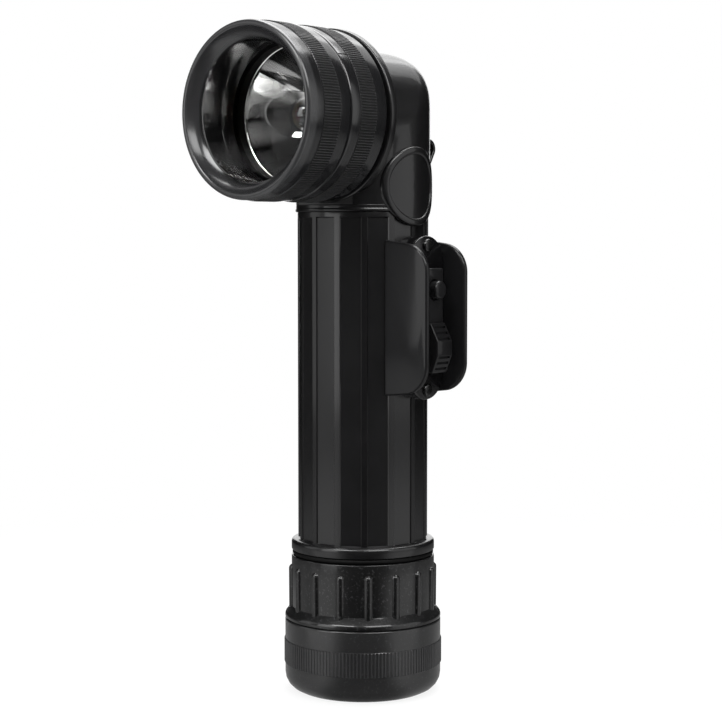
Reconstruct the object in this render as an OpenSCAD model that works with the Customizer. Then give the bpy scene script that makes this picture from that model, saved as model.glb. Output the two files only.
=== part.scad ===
// Angle head flashlight: a fluted barrel for two large cells, an elbow that turns the lamp to the
// side, two screwed head rings, a guarded slide switch with a signal button, a belt clip and a
// battery cap whose base cover keeps spare filters and a spare bulb.
// Millimetres. The origin is the middle of the base's bottom face, +Z runs up the barrel,
// the lamp looks along -Y and the switch is on the +X side.

/* [Cells] */
// Diameter of one cell
cell_d = 33.6; // [32:0.1:34]
// Length of one cell with its terminal
cell_len = 61.5; // [58:0.5:64]
// Diameter of a cell's raised terminal
terminal_d = 9.5; // [7:0.1:10]
// Height of a cell's raised terminal
terminal_h = 1.5; // [1.2:0.1:2]
// Gap between a cell and the barrel's bore
cell_gap = 0.5; // [0.3:0.05:0.7]

/* [Barrel] */
// Wall of the barrel between its bore and its ridges
barrel_wall = 2.7; // [2.3:0.1:3.6]
// Number of flutes round the barrel
flute_count = 15; // [9:1:16]
// Width of a flute
flute_w = 6.6; // [4:0.1:7]
// Depth of a flute at its middle
flute_depth = 0.6; // [0.3:0.05:0.8]
// Height of the plain band between the flutes and the elbow
plain_band_h = 1.6; // [1:0.1:6]
// How far the collar stands out from the threaded neck
collar_step = 2; // [1.6:0.1:3]
// Height of the collar
collar_h = 3.3; // [2.2:0.1:6]
// Edge radius of the collar
collar_round = 1.5; // [0.3:0.1:1.5]
// Wall of the threaded neck inside the battery cap
neck_wall = 2.7; // [2.2:0.1:3]
// Length of the threaded neck
neck_len = 12.7; // [11:0.1:12.9]

/* [Elbow] */
// How far the elbow stands out from the barrel
elbow_step = 0.45; // [0.2:0.05:1.2]
// Height of the flange's lowest edge above the seam of the barrel and the elbow
head_gap = 2.3; // [1.8:0.1:8]
// Roundness of the elbow's outer corner, from a ball at 2 to nearly square at 8
corner_power = 3.6; // [2.4:0.1:6]
// How far the flange stands out from the head rings
flange_step = 0.5; // [0.2:0.1:1]
// Thickness of the flange
flange_t = 2.6; // [1.5:0.1:3]
// Distance from the barrel's axis to the front of the flange
flange_front = 17.4; // [17.2:0.1:20]
// Radius of the round pad on the elbow's side
pad_r = 11.8; // [8:0.1:12]
// Height of the pad's middle above the seam
pad_rise = 7.5; // [5:0.1:10]
// How far the pad's rim stands out from the elbow
pad_proud = 0.85; // [0.5:0.05:1.2]
// Width of the pad's rim
pad_rim = 1.9; // [1:0.1:3]
// Depth of the pad's bare field below its rim
pad_sink = 0.45; // [0.2:0.05:0.6]

/* [Head rings] */
// Wall of the lens ring over its thread
ring_wall = 1.7; // [1.4:0.1:2.2]
// Length of the lens ring
lens_ring_len = 15.8; // [15.4:0.1:18]
// Gap between the flange and the lens ring
ring_gap = 1.1; // [0.4:0.1:1.5]
// Length of the filter ring
filter_ring_len = 17.55; // [17:0.05:22]
// Radius of the filter ring's front edge
rim_round = 1.1; // [0.6:0.1:1.5]
// Depth of the mouth's funnel behind the rim
funnel_depth = 4.1; // [2:0.1:5]
// How far the funnel opens towards the rim
funnel_spread = 3.5; // [1:0.1:3.8]
// How far the mouth's edge reaches in over the lens
mouth_lip = 1.7; // [1.4:0.1:2.4]
// Distance from the lens ring's back to its grip band
lens_grip_back = 4.8; // [3:0.1:6]
// Length of the lens ring's grip band
lens_grip_len = 7; // [5:0.1:7]
// Distance from the filter ring's back to its grip band
filter_grip_back = 4.3; // [3:0.1:5]
// Length of the filter ring's grip band
filter_grip_len = 7.2; // [5:0.1:8]
// Number of ridges in a head ring's grip band
head_ridges = 132; // [60:6:150]
// Height of the lens ring's thread over the lens pocket
lens_thread_step = 1; // [0.8:0.1:1.4]
// Length of the thread that carries the lens ring
lens_thread_len = 10.1; // [8:0.1:10.4]
// Height of the filter ring's thread over the lens pocket
filter_thread_step = 0.8; // [0.6:0.1:0.9]
// Length of the thread that carries the filter ring
filter_thread_len = 6; // [5:0.1:6.4]

/* [Lamp] */
// Diameter of the lens
lens_d = 44.2; // [43.6:0.1:44.4]
// Thickness of the lens
lens_t = 1.8; // [1.2:0.1:2.4]
// Thickness of the lens gasket
gasket_t = 2.9; // [2.4:0.1:3.4]
// Focal length of the reflector
focus = 6.7; // [6.4:0.1:7.4]
// Wall of the reflector
reflector_t = 0.9; // [0.6:0.1:1.2]
// Diameter of the bulb's glass
bulb_d = 11; // [9:0.1:11.2]
// Length of the bulb's glass in front of its flange
bulb_len = 13.2; // [11:0.1:14]
// Diameter of the bulb's flange
bulb_flange_d = 11.8; // [11.6:0.1:12]
// Diameter of the bulb's shell
bulb_shell_d = 9.3; // [8:0.1:9.6]
// Length of the bulb's shell and foot behind its flange
bulb_shell_len = 14.8; // [13:0.1:15]

/* [Switch] */
// Distance from the seam down to the middle of the guard
guard_drop = 31.6; // [30:0.1:45]
// Length of the guard's fins where they meet the barrel
fin_len = 46.4; // [45:0.1:54]
// How far the fins reach out from the barrel
fin_reach = 13; // [12.2:0.1:16]
// Thickness of a fin
fin_t = 1.9; // [1.4:0.1:2.6]
// Clear width between the fins
fin_gap = 16.2; // [14:0.1:18]
// Radius of a fin's outer corners
fin_corner = 7.6; // [4:0.1:9]
// How much each end of a fin draws in towards its edge
fin_taper = 2; // [0:0.1:3]
// How far the guard's base stands out from the barrel
guard_h = 5.2; // [4.8:0.1:5.6]
// Length of the slide
slide_len = 30.9; // [30:0.1:32]
// Width of the slide's tongue
tongue_w = 8.6; // [8.2:0.1:9.6]
// Thickness of the slide's tongue
tongue_t = 2.6; // [2.4:0.1:3]
// Length of the slide's thumb hump
hump_len = 14.7; // [12:0.1:15]
// Width of the thumb hump
hump_w = 7; // [5:0.1:8]
// Height of the thumb hump over the tongue
hump_h = 4; // [3:0.1:4.6]
// Number of grip grooves on each slope of the hump
hump_grooves = 3; // [1:1:4]
// Travel of the slide from off to on
slide_travel = 4.5; // [3:0.1:4.5]
// Diameter of the signal button
button_d = 5.9; // [5:0.1:6]
// How far the signal button stands out from the tongue
button_proud = 2.6; // [2.2:0.1:3]
// Travel of the signal button
button_travel = 1.2; // [0.8:0.1:1.2]

/* [Belt clip] */
// Width of the belt clip
clip_w = 14; // [10:0.5:16]
// Thickness of the clip's spring strip
clip_t = 1; // [0.8:0.05:1.2]
// Radius of the clip's fold at the middle of its strip
fold_r = 2.5; // [2.2:0.1:3]
// Slant of the clip's shoulder below its fold
fold_slant = 30; // [20:1:35]
// Length of the clip's straight leg
clip_leg = 48; // [40:0.5:50]
// Height of the clip's fold above the seam
fold_rise = 20; // [18:0.1:22]

/* [Battery cap] */
// Wall of the battery cap between its ribs
cap_wall = 1.7; // [1.4:0.1:2.2]
// Height of the battery cap above the base cover
cap_h = 19.4; // [18.6:0.1:19.6]
// Number of ribs round the battery cap
rib_count = 16; // [8:1:24]
// Radius of a rib
rib_r = 1.4; // [0.8:0.1:1.6]
// How far a rib stands out from the cap
rib_proud = 0.9; // [0.4:0.1:1.1]
// Height of a rib above the cap's shoulder
rib_h = 12.4; // [8:0.1:13]
// Height of the cap's shoulder
shoulder_h = 3.6; // [2:0.1:4.5]
// Width of the gap that the seal ring fills
seal_gap = 1.8; // [1.4:0.1:2]
// Pressed height of the battery spring
spring_h = 4; // [3.6:0.1:4.6]
// Wire diameter of the battery spring
spring_wire = 1.1; // [0.8:0.05:1.1]
// Turns of the battery spring
spring_turns = 3; // [2:0.5:3.5]

/* [Base cover] */
// How far the base cover stands out from the battery cap
cover_step = 2.05; // [1.9:0.05:3]
// Height of the base cover
cover_h = 22.3; // [22:0.1:24]
// Wall of the base cover
cover_wall = 2.05; // [1.6:0.05:2.1]
// Floor of the base cover
cover_floor = 2.2; // [1.6:0.1:2.4]
// Radius of the base cover's bottom edge
cover_round = 5.4; // [2:0.1:6]
// Height of the grip band above the base
cover_grip_z = 8.4; // [6.2:0.1:10]
// Height of the grip band
cover_grip_h = 7.6; // [4:0.1:9]
// Number of ridges in the base cover's grip band
cover_ridges = 144; // [72:6:160]
// Thickness of one spare filter
filter_t = 1.5; // [1:0.1:1.6]

/* [Clearances] */
// Radial gap between two screwed parts
thread_gap = 0.3; // [0.2:0.05:0.4]
// Gap between faces that lie on each other
seat_gap = 0.05; // [0.02:0.01:0.08]
// Gap round parts that slide on each other
slide_gap = 0.2; // [0.15:0.05:0.3]
// Height of a grip band's ridges
ridge_h = 0.3; // [0.15:0.05:0.4]
// Thickness of the contact strips
strip_t = 0.4; // [0.3:0.05:0.5]

/* [Hidden] */
$fn = 64;

// Colours
shell_black = [0.09, 0.09, 0.095];
cap_grey = [0.13, 0.13, 0.135];
rubber_black = [0.05, 0.05, 0.05];
steel = [0.35, 0.35, 0.36];
brass = [0.78, 0.6, 0.28];
chrome = [0.85, 0.86, 0.87];
glass = [0.85, 0.9, 0.92, 0.35];
fibre_red = [0.5, 0.12, 0.1];
cell_blue = [0.2, 0.25, 0.4];
foam_grey = [0.35, 0.35, 0.36];

// Small steps that let cuts run past a face
past = 1;
sliver = 0.02;

// Radii shared by fitted parts
bore_r = cell_d / 2 + cell_gap;
barrel_r = bore_r + barrel_wall;
elbow_r = barrel_r + elbow_step;
neck_r = bore_r + neck_wall;
collar_r = neck_r + collar_step;
cap_bore_r = neck_r + thread_gap;
cap_r = cap_bore_r + cap_wall;
cover_r = cap_r + cover_step;
cover_bore_r = cover_r - cover_wall;
cap_thread_r = cover_bore_r - thread_gap;
lens_r = lens_d / 2;
lens_pocket_r = lens_r + thread_gap;
lens_thread_r = lens_pocket_r + lens_thread_step;
filter_thread_r = lens_pocket_r + filter_thread_step;
ring_r = lens_thread_r + thread_gap + ring_wall;
flange_r = ring_r + flange_step;
mouth_r = lens_r - mouth_lip;
lip_r = mouth_r + slide_gap;

// Heights from the base up
filter_pitch = filter_t + seat_gap;
cushion_z = cover_floor + seat_gap + 3 * filter_pitch;
spare_bulb_z = cushion_z + seat_gap + bulb_flange_d / 2;
cap_floor_z = spare_bulb_z + bulb_flange_d / 2 + seat_gap;
cap_floor_t = 1.8;
cap_contact_z = cap_floor_z + cap_floor_t;
spring_z = cap_contact_z + strip_t;
cell_z = spring_z + spring_h;
cell_top_z = cell_z + 2 * cell_len;
cap_z = cover_h + slide_gap;
cap_top_z = cap_z + cap_h;
collar_z = cap_top_z + seal_gap;
collar_top_z = collar_z + collar_h;
neck_z = collar_z - neck_len;
cap_thread_len = 9.2;
cap_thread_wall = 2;
spares_r = cap_thread_r - cap_thread_wall;
contact_rim = 0.7;
contact_r = cell_d / 2 + contact_rim;

// Heights at the top of the cells
insulator_t = 0.9;
insulator_z = cell_top_z - terminal_h + 2 * slide_gap;
strip_top_z = insulator_z + insulator_t + 2 * seat_gap;
ceiling_z = strip_top_z + strip_t + 2 * seat_gap;
register_h = 1.2;
register_wall = 1.5;
register_r = bore_r + register_wall;
seam_z = ceiling_z - register_h - slide_gap;
head_z = seam_z + head_gap + flange_r;
flute_top_z = seam_z - plain_band_h;

// Places along the lamp's axis, counted from the barrel's axis
flange_back = flange_front - flange_t;
lens_ring_s = flange_front + ring_gap;
filter_ring_s = lens_ring_s + lens_ring_len + 3 * seat_gap;
lens_thread_end = flange_front + lens_thread_len;
filter_thread_end = lens_ring_s + lens_ring_len + filter_thread_len;
lens_stand = 0.9;
lip_s = lens_ring_s + lens_ring_len + lens_stand;
lens_s = lip_s - seat_gap - lens_t;
gasket_s = lens_s - seat_gap - gasket_t;
rim_s = gasket_s - seat_gap;
reflector_rim = 2.5;
reflector_r = lens_r - reflector_rim;
apex_s = rim_s - reflector_r * reflector_r / (4 * focus);
bulb_seat_s = apex_s + 2 * slide_gap;
bulb_flange_t = 0.6;
bulb_foot_len = 3;
bulb_flange_s = bulb_seat_s - seat_gap - bulb_flange_t;
bulb_foot_s = bulb_flange_s - bulb_shell_len;

// Radii of the lamp's holder
lamp_neck_wall = 1.7;
bulb_neck_r = bulb_flange_d / 2 + 2 * slide_gap;
lamp_neck_r = bulb_neck_r + lamp_neck_wall;
retainer_step = 0.5;
retainer_r = lamp_neck_r + retainer_step;
retainer_plug_len = 4;
retainer_len = 6.5;
lamp_cavity_gap = 2.5;
lamp_cavity_r = retainer_r + lamp_cavity_gap;
lamp_cavity_back = 6;
lens_thread_wall = 2.9;
lamp_throat_len = 5;
chamber_r = 14.5;
chamber_rise = 4;

// Places of the switch
guard_z = seam_z - guard_drop;
guard_top_x = barrel_r + guard_h;
guard_plate_t = 2.2;
guard_cavity_x = guard_top_x - guard_plate_t;
slide_x = guard_top_x + slide_gap;
tongue_x = slide_x + tongue_t;
slide_drop = 16.1;
slide_z = guard_z - slide_drop;
button_rise = 24.5;
button_z = slide_z + button_rise;
stem_w = 5;
stem_len = 9;
stem_rise = 6.2;
stem_z = slide_z + stem_rise;
foot_w = 8.2;
foot_len = 11;
foot_t = 1.2;
foot_x = guard_cavity_x - slide_gap - foot_t;
wiper_w = 6;
wiper_len = 27;
wiper_x = foot_x - seat_gap - strip_t;
wiper_z = stem_z - foot_len / 2;
button_collar_w = 0.65;
button_collar_d = button_d + 2 * button_collar_w;
button_roof_t = 0.8;
button_stem_d = 3;
guard_toe = 1.2;
rivet_edge = 2.9;
rivet_spread = fin_len / 2 + guard_toe - rivet_edge;
rivet_d = 2.6;
rivet_head_d = 4;
rivet_head_h = 0.9;
tab_drop = 2.5;
tab_rise = 2.2;
lower_tab_z = stem_z - tab_drop;
upper_tab_z = button_z + tab_rise;
tab_window_h = 3.5;

// Contact strips in the barrel
strip_w = 6;
strip_x = bore_r + slide_gap;
channel_w = strip_w + 5 * slide_gap;
channel_x = strip_x + strip_t + slide_gap;
tab_x = wiper_x - 3 * seat_gap;
side_x = retainer_r + 5 * seat_gap;
side_front = -10;
side_back = -4;
side_foot = 1.6;
side_rise = 2;

// Places of the belt clip
boss_y = elbow_r + slide_gap;
clip_pad_rise = 12;
clip_pad_z = seam_z + clip_pad_rise;
fold_z = seam_z + fold_rise;
clip_mid_y = boss_y + clip_t / 2;
clip_joint_gap = 0.12;
clip_rivet_rise = 16.4;
clip_rivet_z = seam_z + clip_rivet_rise;
clip_rivet_d = 3.2;
clip_rivet_head_d = 6;
clip_rivet_head_h = 1.1;
bend_steps = 8;

// Seal ring between the two head rings
seal_wire_r = 0.62;
seal_ring_r = filter_thread_r + seal_wire_r + seat_gap;

// Middle of the spare bulb, counted from the front of its flange
spare_mid = (bulb_len - bulb_shell_len) / 2;

// Middle of the battery spring's wire, a cone that closes towards the cell
spring_inset = 3;
spring_low_r = contact_r - spring_inset;
spring_top_r = terminal_d;
spring_rings = 8 * spring_turns;
spring_points = [for (i = [0 : spring_rings])
    let (t = i / spring_rings, a = 360 * spring_turns * t)
    let (r = spring_low_r + (spring_top_r - spring_low_r) * t)
    [r * cos(a), r * sin(a), spring_z + seat_gap + spring_wire / 2
        + (spring_h - 2 * seat_gap - spring_wire) * t]];
spring_sides = 6;
spring_self_gap = min([for (i = [0 : spring_rings], k = [i + 5 : 1 : spring_rings])
    norm(spring_points[i] - spring_points[k])]) - spring_wire;
echo(spring_self_gap = spring_self_gap);

// Moves what is drawn along +Z to the lamp's axis, looking forward
module on_lamp_axis(s = 0) {
    translate([0, -s, head_z])
        rotate([90, 0, 0])
            children();
}

// Moves what is drawn along +Z to the switch's side, looking outward from the barrel
module on_switch_side(x, z) {
    translate([x, 0, z])
        rotate([0, 90, 0])
            children();
}

// Stands an outline drawn as X and Z upright and gives it a width along Y
module across(width) {
    rotate([90, 0, 0])
        linear_extrude(width, center = true)
            children();
}

// Stands an outline drawn as Y and Z upright and gives it a width along X
module along_x(width) {
    rotate([90, 0, 90])
        linear_extrude(width, center = true)
            children();
}

// A plain ring between two radii
module ring(outer_r, inner_r, height) {
    difference() {
        cylinder(r = outer_r, h = height);
        translate([0, 0, -past])
            cylinder(r = inner_r, h = height + 2 * past);
    }
}

// Half section of a disc with rounded edges
module round_edged_section(radius, height, edge) {
    square([radius - edge, height]);
    translate([0, edge])
        square([radius, height - 2 * edge]);
    for (z = [edge, height - edge])
        translate([radius - edge, z])
            circle(edge);
}

// A band of fine upright ridges round a turned part
module grip_band(radius, height, ridges) {
    step = 360 / ridges;
    root = radius + ridge_h / 6;
    tip = radius + ridge_h;
    linear_extrude(height)
        difference() {
            polygon([for (i = [0 : ridges - 1], k = [0 : 3])
                let (a = (i + [0, 0.3, 0.5, 0.8][k]) * step, r = k < 2 ? root : tip)
                [r * cos(a), r * sin(a)]]);
            circle(radius - 2 * ridge_h);
        }
}

// A shallow domed rivet head
module domed_head(diameter, height) {
    ball = (diameter * diameter / 4 + height * height) / (2 * height);
    intersection() {
        cylinder(d = diameter, h = height);
        translate([0, 0, height - ball])
            sphere(ball);
    }
}

// Points and headings along a bent strip made of runs [length, bend angle, bend radius]
function strip_path(runs, at, heading, i = 0) =
    i == len(runs) ? [[at, heading]] :
    let (
        bend = runs[i][1],
        radius = runs[i][2],
        side = sign(bend),
        corner = at + runs[i][0] * [cos(heading), sin(heading)],
        hub = corner + side * radius * [-sin(heading), cos(heading)],
        arc = bend == 0 ? [] : [for (k = [0 : bend_steps - 1])
            let (h = heading + bend * k / bend_steps)
            [hub + side * radius * [sin(h), -cos(h)], h]],
        end = bend == 0 ? corner : hub + side * radius * [sin(heading + bend), -cos(heading + bend)]
    )
    concat(runs[i][0] > 0 ? [[at, heading]] : [], arc, strip_path(runs, end, heading + bend, i + 1));

// Outline of a bent strip of even thickness
module bent_strip(runs, at, heading, thickness) {
    path = strip_path(runs, at, heading);
    last = len(path) - 1;
    function edge(i, side) = path[i][0] + side * thickness / 2 * [-sin(path[i][1]), cos(path[i][1])];
    polygon(concat([for (i = [0 : last]) edge(i, 1)], [for (i = [last : -1 : 0]) edge(i, -1)]));
}

// Outline of the barrel with its flutes
module fluted_outline() {
    difference() {
        circle(barrel_r);
        for (i = [0 : flute_count - 1])
            rotate((i + 0.5) * 360 / flute_count)
                translate([barrel_r - flute_depth, -flute_w / 2])
                    square([2 * flute_depth, flute_w]);
    }
}

// Fluted tube with its collar, its threaded neck and the register that the elbow sits on
module barrel() {
    color(shell_black)
    difference() {
        union() {
            translate([0, 0, collar_top_z])
                linear_extrude(flute_top_z - collar_top_z)
                    fluted_outline();
            translate([0, 0, flute_top_z])
                cylinder(r = barrel_r, h = plain_band_h);
            translate([0, 0, collar_z])
                rotate_extrude()
                    round_edged_section(collar_r, collar_h, collar_round);
            translate([0, 0, neck_z])
                cylinder(r = neck_r, h = neck_len);
            translate([0, 0, seam_z])
                cylinder(r = register_r, h = register_h);
        }
        translate([0, 0, neck_z - past])
            cylinder(r = bore_r, h = ceiling_z - neck_z + 2 * past);
        translate([0, -channel_w / 2, neck_z - past])
            cube([channel_x, channel_w, ceiling_z - neck_z + 2 * past]);
        for (z = [lower_tab_z, upper_tab_z])
            translate([0, -channel_w / 2, z - tab_window_h / 2])
                cube([barrel_r + past, channel_w, tab_window_h]);
        rivet_holes();
    }
}

// One oval half section of the elbow's outer corner, turned from the back to the top
module corner_slice(a) {
    inset = seat_gap / 2;
    reach = (cos(a) ^ corner_power + sin(a) ^ corner_power) ^ (-1 / corner_power);
    rotate([a, 0, 0])
        linear_extrude(sliver, center = true)
            scale([1, reach])
                intersection() {
                    circle(elbow_r - inset);
                    translate([-elbow_r, 0])
                        square([2 * elbow_r, elbow_r]);
                }
}

// Rounded outer corner of the elbow, which reaches a little into both of its tubes
module elbow_corner() {
    translate([0, 0, head_z])
        hull() {
            for (a = [0 : 7.5 : 90])
                corner_slice(a);
            translate([0, 0, -past])
                corner_slice(0);
            translate([0, -past, 0])
                corner_slice(90);
        }
}

// Round pad on the elbow's side, bent round it, with a raised rim and a bare field
module side_pad() {
    out = elbow_r + pad_proud;
    pad_z = seam_z + pad_rise;
    difference() {
        intersection() {
            on_switch_side(0, pad_z)
                cylinder(r = pad_r, h = out + past);
            translate([0, 0, pad_z - pad_r - past])
                ring(out, barrel_r + 2 * seat_gap, 2 * pad_r + 2 * past);
        }
        intersection() {
            on_switch_side(0, pad_z)
                cylinder(r = pad_r - pad_rim, h = out + past);
            translate([0, 0, pad_z - pad_r])
                ring(out + past, out - pad_sink, 2 * pad_r);
        }
    }
}

// Elbow that turns the light to the side, with the flange and thread for the lens ring
module elbow_housing() {
    color(shell_black)
    difference() {
        union() {
            difference() {
                union() {
                    translate([0, 0, seam_z])
                        cylinder(r = elbow_r, h = head_z - seam_z);
                    on_lamp_axis()
                        cylinder(r = elbow_r, h = flange_back + sliver);
                    elbow_corner();
                    translate([-clip_w / 2 - slide_gap, 0, clip_pad_z - slide_gap])
                        cube([clip_w + 2 * slide_gap, boss_y, fold_z - clip_pad_z + slide_gap]);
                }
                on_lamp_axis(flange_front)
                    cylinder(r = flange_r + slide_gap, h = elbow_r);
            }
            on_lamp_axis(flange_back)
                cylinder(r = flange_r, h = flange_t);
            on_lamp_axis(flange_front)
                cylinder(r = lens_thread_r, h = lens_thread_len);
            side_pad();
        }
        // The barrel's register and the upper cell
        translate([0, 0, seam_z - past])
            cylinder(r = register_r + seat_gap, h = ceiling_z - seam_z + past);
        // Room for the contacts and the lamp's holder
        translate([0, 0, ceiling_z - sliver])
            cylinder(r = chamber_r, h = head_z - ceiling_z + chamber_rise);
        on_lamp_axis(-lamp_cavity_back)
            cylinder(r = lamp_cavity_r, h = flange_front + lamp_cavity_back);
        on_lamp_axis(flange_front - lamp_throat_len / 2)
            cylinder(r1 = lamp_cavity_r, r2 = lens_thread_r - lens_thread_wall, h = lamp_throat_len);
        on_lamp_axis(flange_front + lamp_throat_len / 2 - sliver)
            cylinder(r = lens_thread_r - lens_thread_wall, h = lens_thread_len);
        translate([0, -channel_w / 2, strip_top_z - seat_gap])
            cube([channel_x, channel_w, strip_t + 2 * seat_gap]);
        translate([0, 0, clip_rivet_z])
            rotate([-90, 0, 0])
                cylinder(d = clip_rivet_d, h = boss_y + past);
    }
}

// Outline of one fin of the switch guard, as X and Z about its middle
module fin_outline() {
    corner_x = barrel_r + fin_reach - fin_corner;
    corner_z = fin_len / 2 - fin_taper - fin_corner;
    hull() {
        translate([bore_r, -fin_len / 2])
            square([sliver, fin_len]);
        for (z = [-corner_z, corner_z])
            translate([corner_x, z])
                circle(fin_corner);
    }
}

// Outline of the guard's base, with round ends, as Y and Z about its middle
module guard_base_outline() {
    end_z = fin_len / 2 + guard_toe - fin_gap / 2;
    square([fin_gap + fin_t, 2 * end_z], center = true);
    for (z = [-end_z, end_z])
        translate([0, z])
            circle(fin_gap / 2);
}

// Upright slot outline for a part that travels with the slide
module travel_slot(width, low, high) {
    translate([-width / 2, low])
        square([width, high - low]);
}

// Switch guard: two fins on a base that carries the slide
module switch_guard() {
    room = 3;
    color(shell_black)
    difference() {
        union() {
            for (y = [-1, 1])
                translate([0, y * (fin_gap + fin_t) / 2, guard_z])
                    across(fin_t)
                        fin_outline();
            translate([0, 0, guard_z])
                rotate([90, 0, 90])
                    linear_extrude(guard_top_x)
                        guard_base_outline();
        }
        translate([0, 0, guard_z - fin_len])
            cylinder(r = barrel_r, h = 2 * fin_len);
        translate([-2 * barrel_r, -barrel_r, guard_z - fin_len])
            cube([2 * barrel_r, 2 * barrel_r, 2 * fin_len]);
        // Inside of the base, where the slide's foot and the contacts move
        translate([0, -foot_w / 2 - slide_gap, wiper_z - room])
            cube([guard_cavity_x, foot_w + 2 * slide_gap, wiper_len + slide_travel + 2 * room]);
        // Slots for the slide's stem and the button's stem
        rotate([90, 0, 90])
            linear_extrude(guard_top_x + past) {
                travel_slot(stem_w + 2 * slide_gap, stem_z - stem_len / 2 - slide_gap,
                    stem_z + stem_len / 2 + slide_travel + slide_gap);
                travel_slot(button_stem_d + 3 * slide_gap, button_z - button_stem_d / 2 - slide_gap,
                    button_z + button_stem_d / 2 + slide_travel + slide_gap);
            }
        rivet_holes();
    }
}

// Two rivets that hold the switch guard on the barrel
module guard_rivets() {
    color(steel)
    for (z = [-rivet_spread, rivet_spread]) {
        on_switch_side(bore_r + seat_gap, guard_z + z)
            cylinder(d = rivet_d, h = guard_top_x - bore_r - seat_gap);
        on_switch_side(guard_top_x, guard_z + z)
            domed_head(rivet_head_d, rivet_head_h);
    }
}

// Slide with its thumb hump, tongue, stem and retaining foot
module switch_slide() {
    crest_x = tongue_x + hump_h;
    low_x = tongue_x + hump_h * 0.48;
    high_x = tongue_x + hump_h * 0.32;
    slope = hump_len * 0.35;
    groove_w = 0.8;
    groove_depth = 0.45;
    groove_len = hump_w - 2 * groove_w;
    first_groove = 0.7;
    color(shell_black)
    difference() {
        union() {
            translate([slide_x, -tongue_w / 2, slide_z])
                cube([tongue_t, tongue_w, slide_len]);
            across(hump_w)
                polygon([[slide_x, slide_z], [low_x, slide_z], [crest_x, slide_z + slope],
                    [crest_x, slide_z + hump_len - slope], [high_x, slide_z + hump_len],
                    [slide_x, slide_z + hump_len]]);
            translate([foot_x, -stem_w / 2, stem_z - stem_len / 2])
                cube([slide_x - foot_x + sliver, stem_w, stem_len]);
            translate([foot_x, -foot_w / 2, stem_z - foot_len / 2])
                cube([foot_t, foot_w, foot_len]);
        }
        // Grip grooves on both slopes
        for (i = [0 : hump_grooves - 1]) {
            share = (i + first_groove) / hump_grooves;
            translate([low_x + (crest_x - low_x) * share - groove_depth, -groove_len / 2,
                slide_z + slope * share - groove_w / 2])
                cube([hump_h, groove_len, groove_w]);
            translate([high_x + (crest_x - high_x) * share - groove_depth, -groove_len / 2,
                slide_z + hump_len - slope * share - groove_w / 2])
                cube([hump_h, groove_len, groove_w]);
        }
        // Bore and seat of the signal button
        on_switch_side(slide_x - past, button_z)
            cylinder(d = button_d + slide_gap, h = tongue_t + 2 * past);
        on_switch_side(slide_x - past, button_z)
            cylinder(d = button_collar_d + 2 * slide_gap, h = tongue_t - button_roof_t + past);
    }
}

// Sprung contact under the slide, which also returns the signal button
module slide_contact() {
    color(brass)
    translate([wiper_x, -wiper_w / 2, wiper_z])
        cube([strip_t, wiper_w, wiper_len]);
}

// Signal button with its collar and stem
module signal_button() {
    collar_t = 0.5;
    collar_x = tongue_x - button_roof_t - seat_gap - collar_t;
    stem_x = wiper_x + strip_t + 3 * seat_gap + button_travel;
    edge = 0.6;
    color(shell_black)
    union() {
        on_switch_side(collar_x, button_z)
            rotate_extrude() {
                square([button_d / 2 - edge, tongue_x + button_proud - collar_x]);
                square([button_d / 2, tongue_x + button_proud - collar_x - edge]);
                translate([button_d / 2 - edge, tongue_x + button_proud - collar_x - edge])
                    circle(edge);
            }
        on_switch_side(collar_x, button_z)
            cylinder(d = button_collar_d, h = collar_t);
        on_switch_side(stem_x, button_z)
            cylinder(d = button_stem_d, h = collar_x - stem_x + sliver);
    }
}

// Holes for the guard's two rivets through the barrel's wall, the guard and the strips
module rivet_holes() {
    for (z = [-rivet_spread, rivet_spread])
        on_switch_side(bore_r - past, guard_z + z)
            cylinder(d = rivet_d, h = guard_top_x - bore_r + 2 * past);
}

// Lower contact strip from the cap's contact up to the switch
module lower_contact_strip() {
    foot_z = neck_z - seat_gap - strip_t;
    color(brass)
    difference() {
        union() {
            translate([strip_x, -strip_w / 2, foot_z])
                cube([strip_t, strip_w, lower_tab_z - foot_z]);
            translate([strip_x, -strip_w / 2, lower_tab_z])
                cube([tab_x - strip_x, strip_w, strip_t]);
            translate([bore_r - slide_gap, -strip_w / 2, foot_z])
                cube([neck_r - bore_r, strip_w, strip_t]);
        }
        rivet_holes();
    }
}

// Upper contact strip from the switch over the cells to the side of the bulb's retainer
module upper_contact_strip() {
    color(brass)
    difference() {
        union() {
            translate([strip_x, -strip_w / 2, upper_tab_z])
                cube([tab_x - strip_x, strip_w, strip_t]);
            translate([strip_x, -strip_w / 2, upper_tab_z])
                cube([strip_t, strip_w, strip_top_z + strip_t - upper_tab_z]);
            translate([side_x, -strip_w / 2, strip_top_z])
                cube([strip_x + strip_t - side_x, strip_w, strip_t]);
            translate([side_x, side_front, strip_top_z])
                cube([side_foot, strip_w / 2 - side_front, strip_t]);
            translate([side_x, side_front, strip_top_z])
                cube([strip_t, side_back - side_front, head_z + side_rise - strip_top_z]);
        }
        rivet_holes();
    }
}

// Fibre disc over the upper cell
module contact_insulator() {
    color(fibre_red)
    translate([0, 0, insulator_z])
        ring(bore_r - slide_gap, terminal_d / 2 + 5 * slide_gap, insulator_t);
}

// Middle contact from the upper cell's terminal to the bulb's foot
module centre_contact() {
    leaf_w = 6;
    leaf_rise = 3;
    tip_rim = 3;
    leaf_y = -bulb_foot_s + seat_gap;
    color(brass)
    union() {
        translate([0, 0, cell_top_z + seat_gap])
            cylinder(r = terminal_d / 2 + tip_rim, h = strip_t);
        translate([-leaf_w / 2, leaf_y, cell_top_z + seat_gap])
            cube([leaf_w, strip_t, head_z + leaf_rise - cell_top_z]);
    }
}

// One cell with its can and terminal
module cell(z) {
    edge = 1;
    can_h = cell_len - terminal_h;
    color(cell_blue)
    translate([0, 0, z])
        rotate_extrude() {
            round_edged_section(cell_d / 2, can_h - seat_gap, edge);
            square([terminal_d / 2, cell_len - seat_gap]);
        }
}

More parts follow.
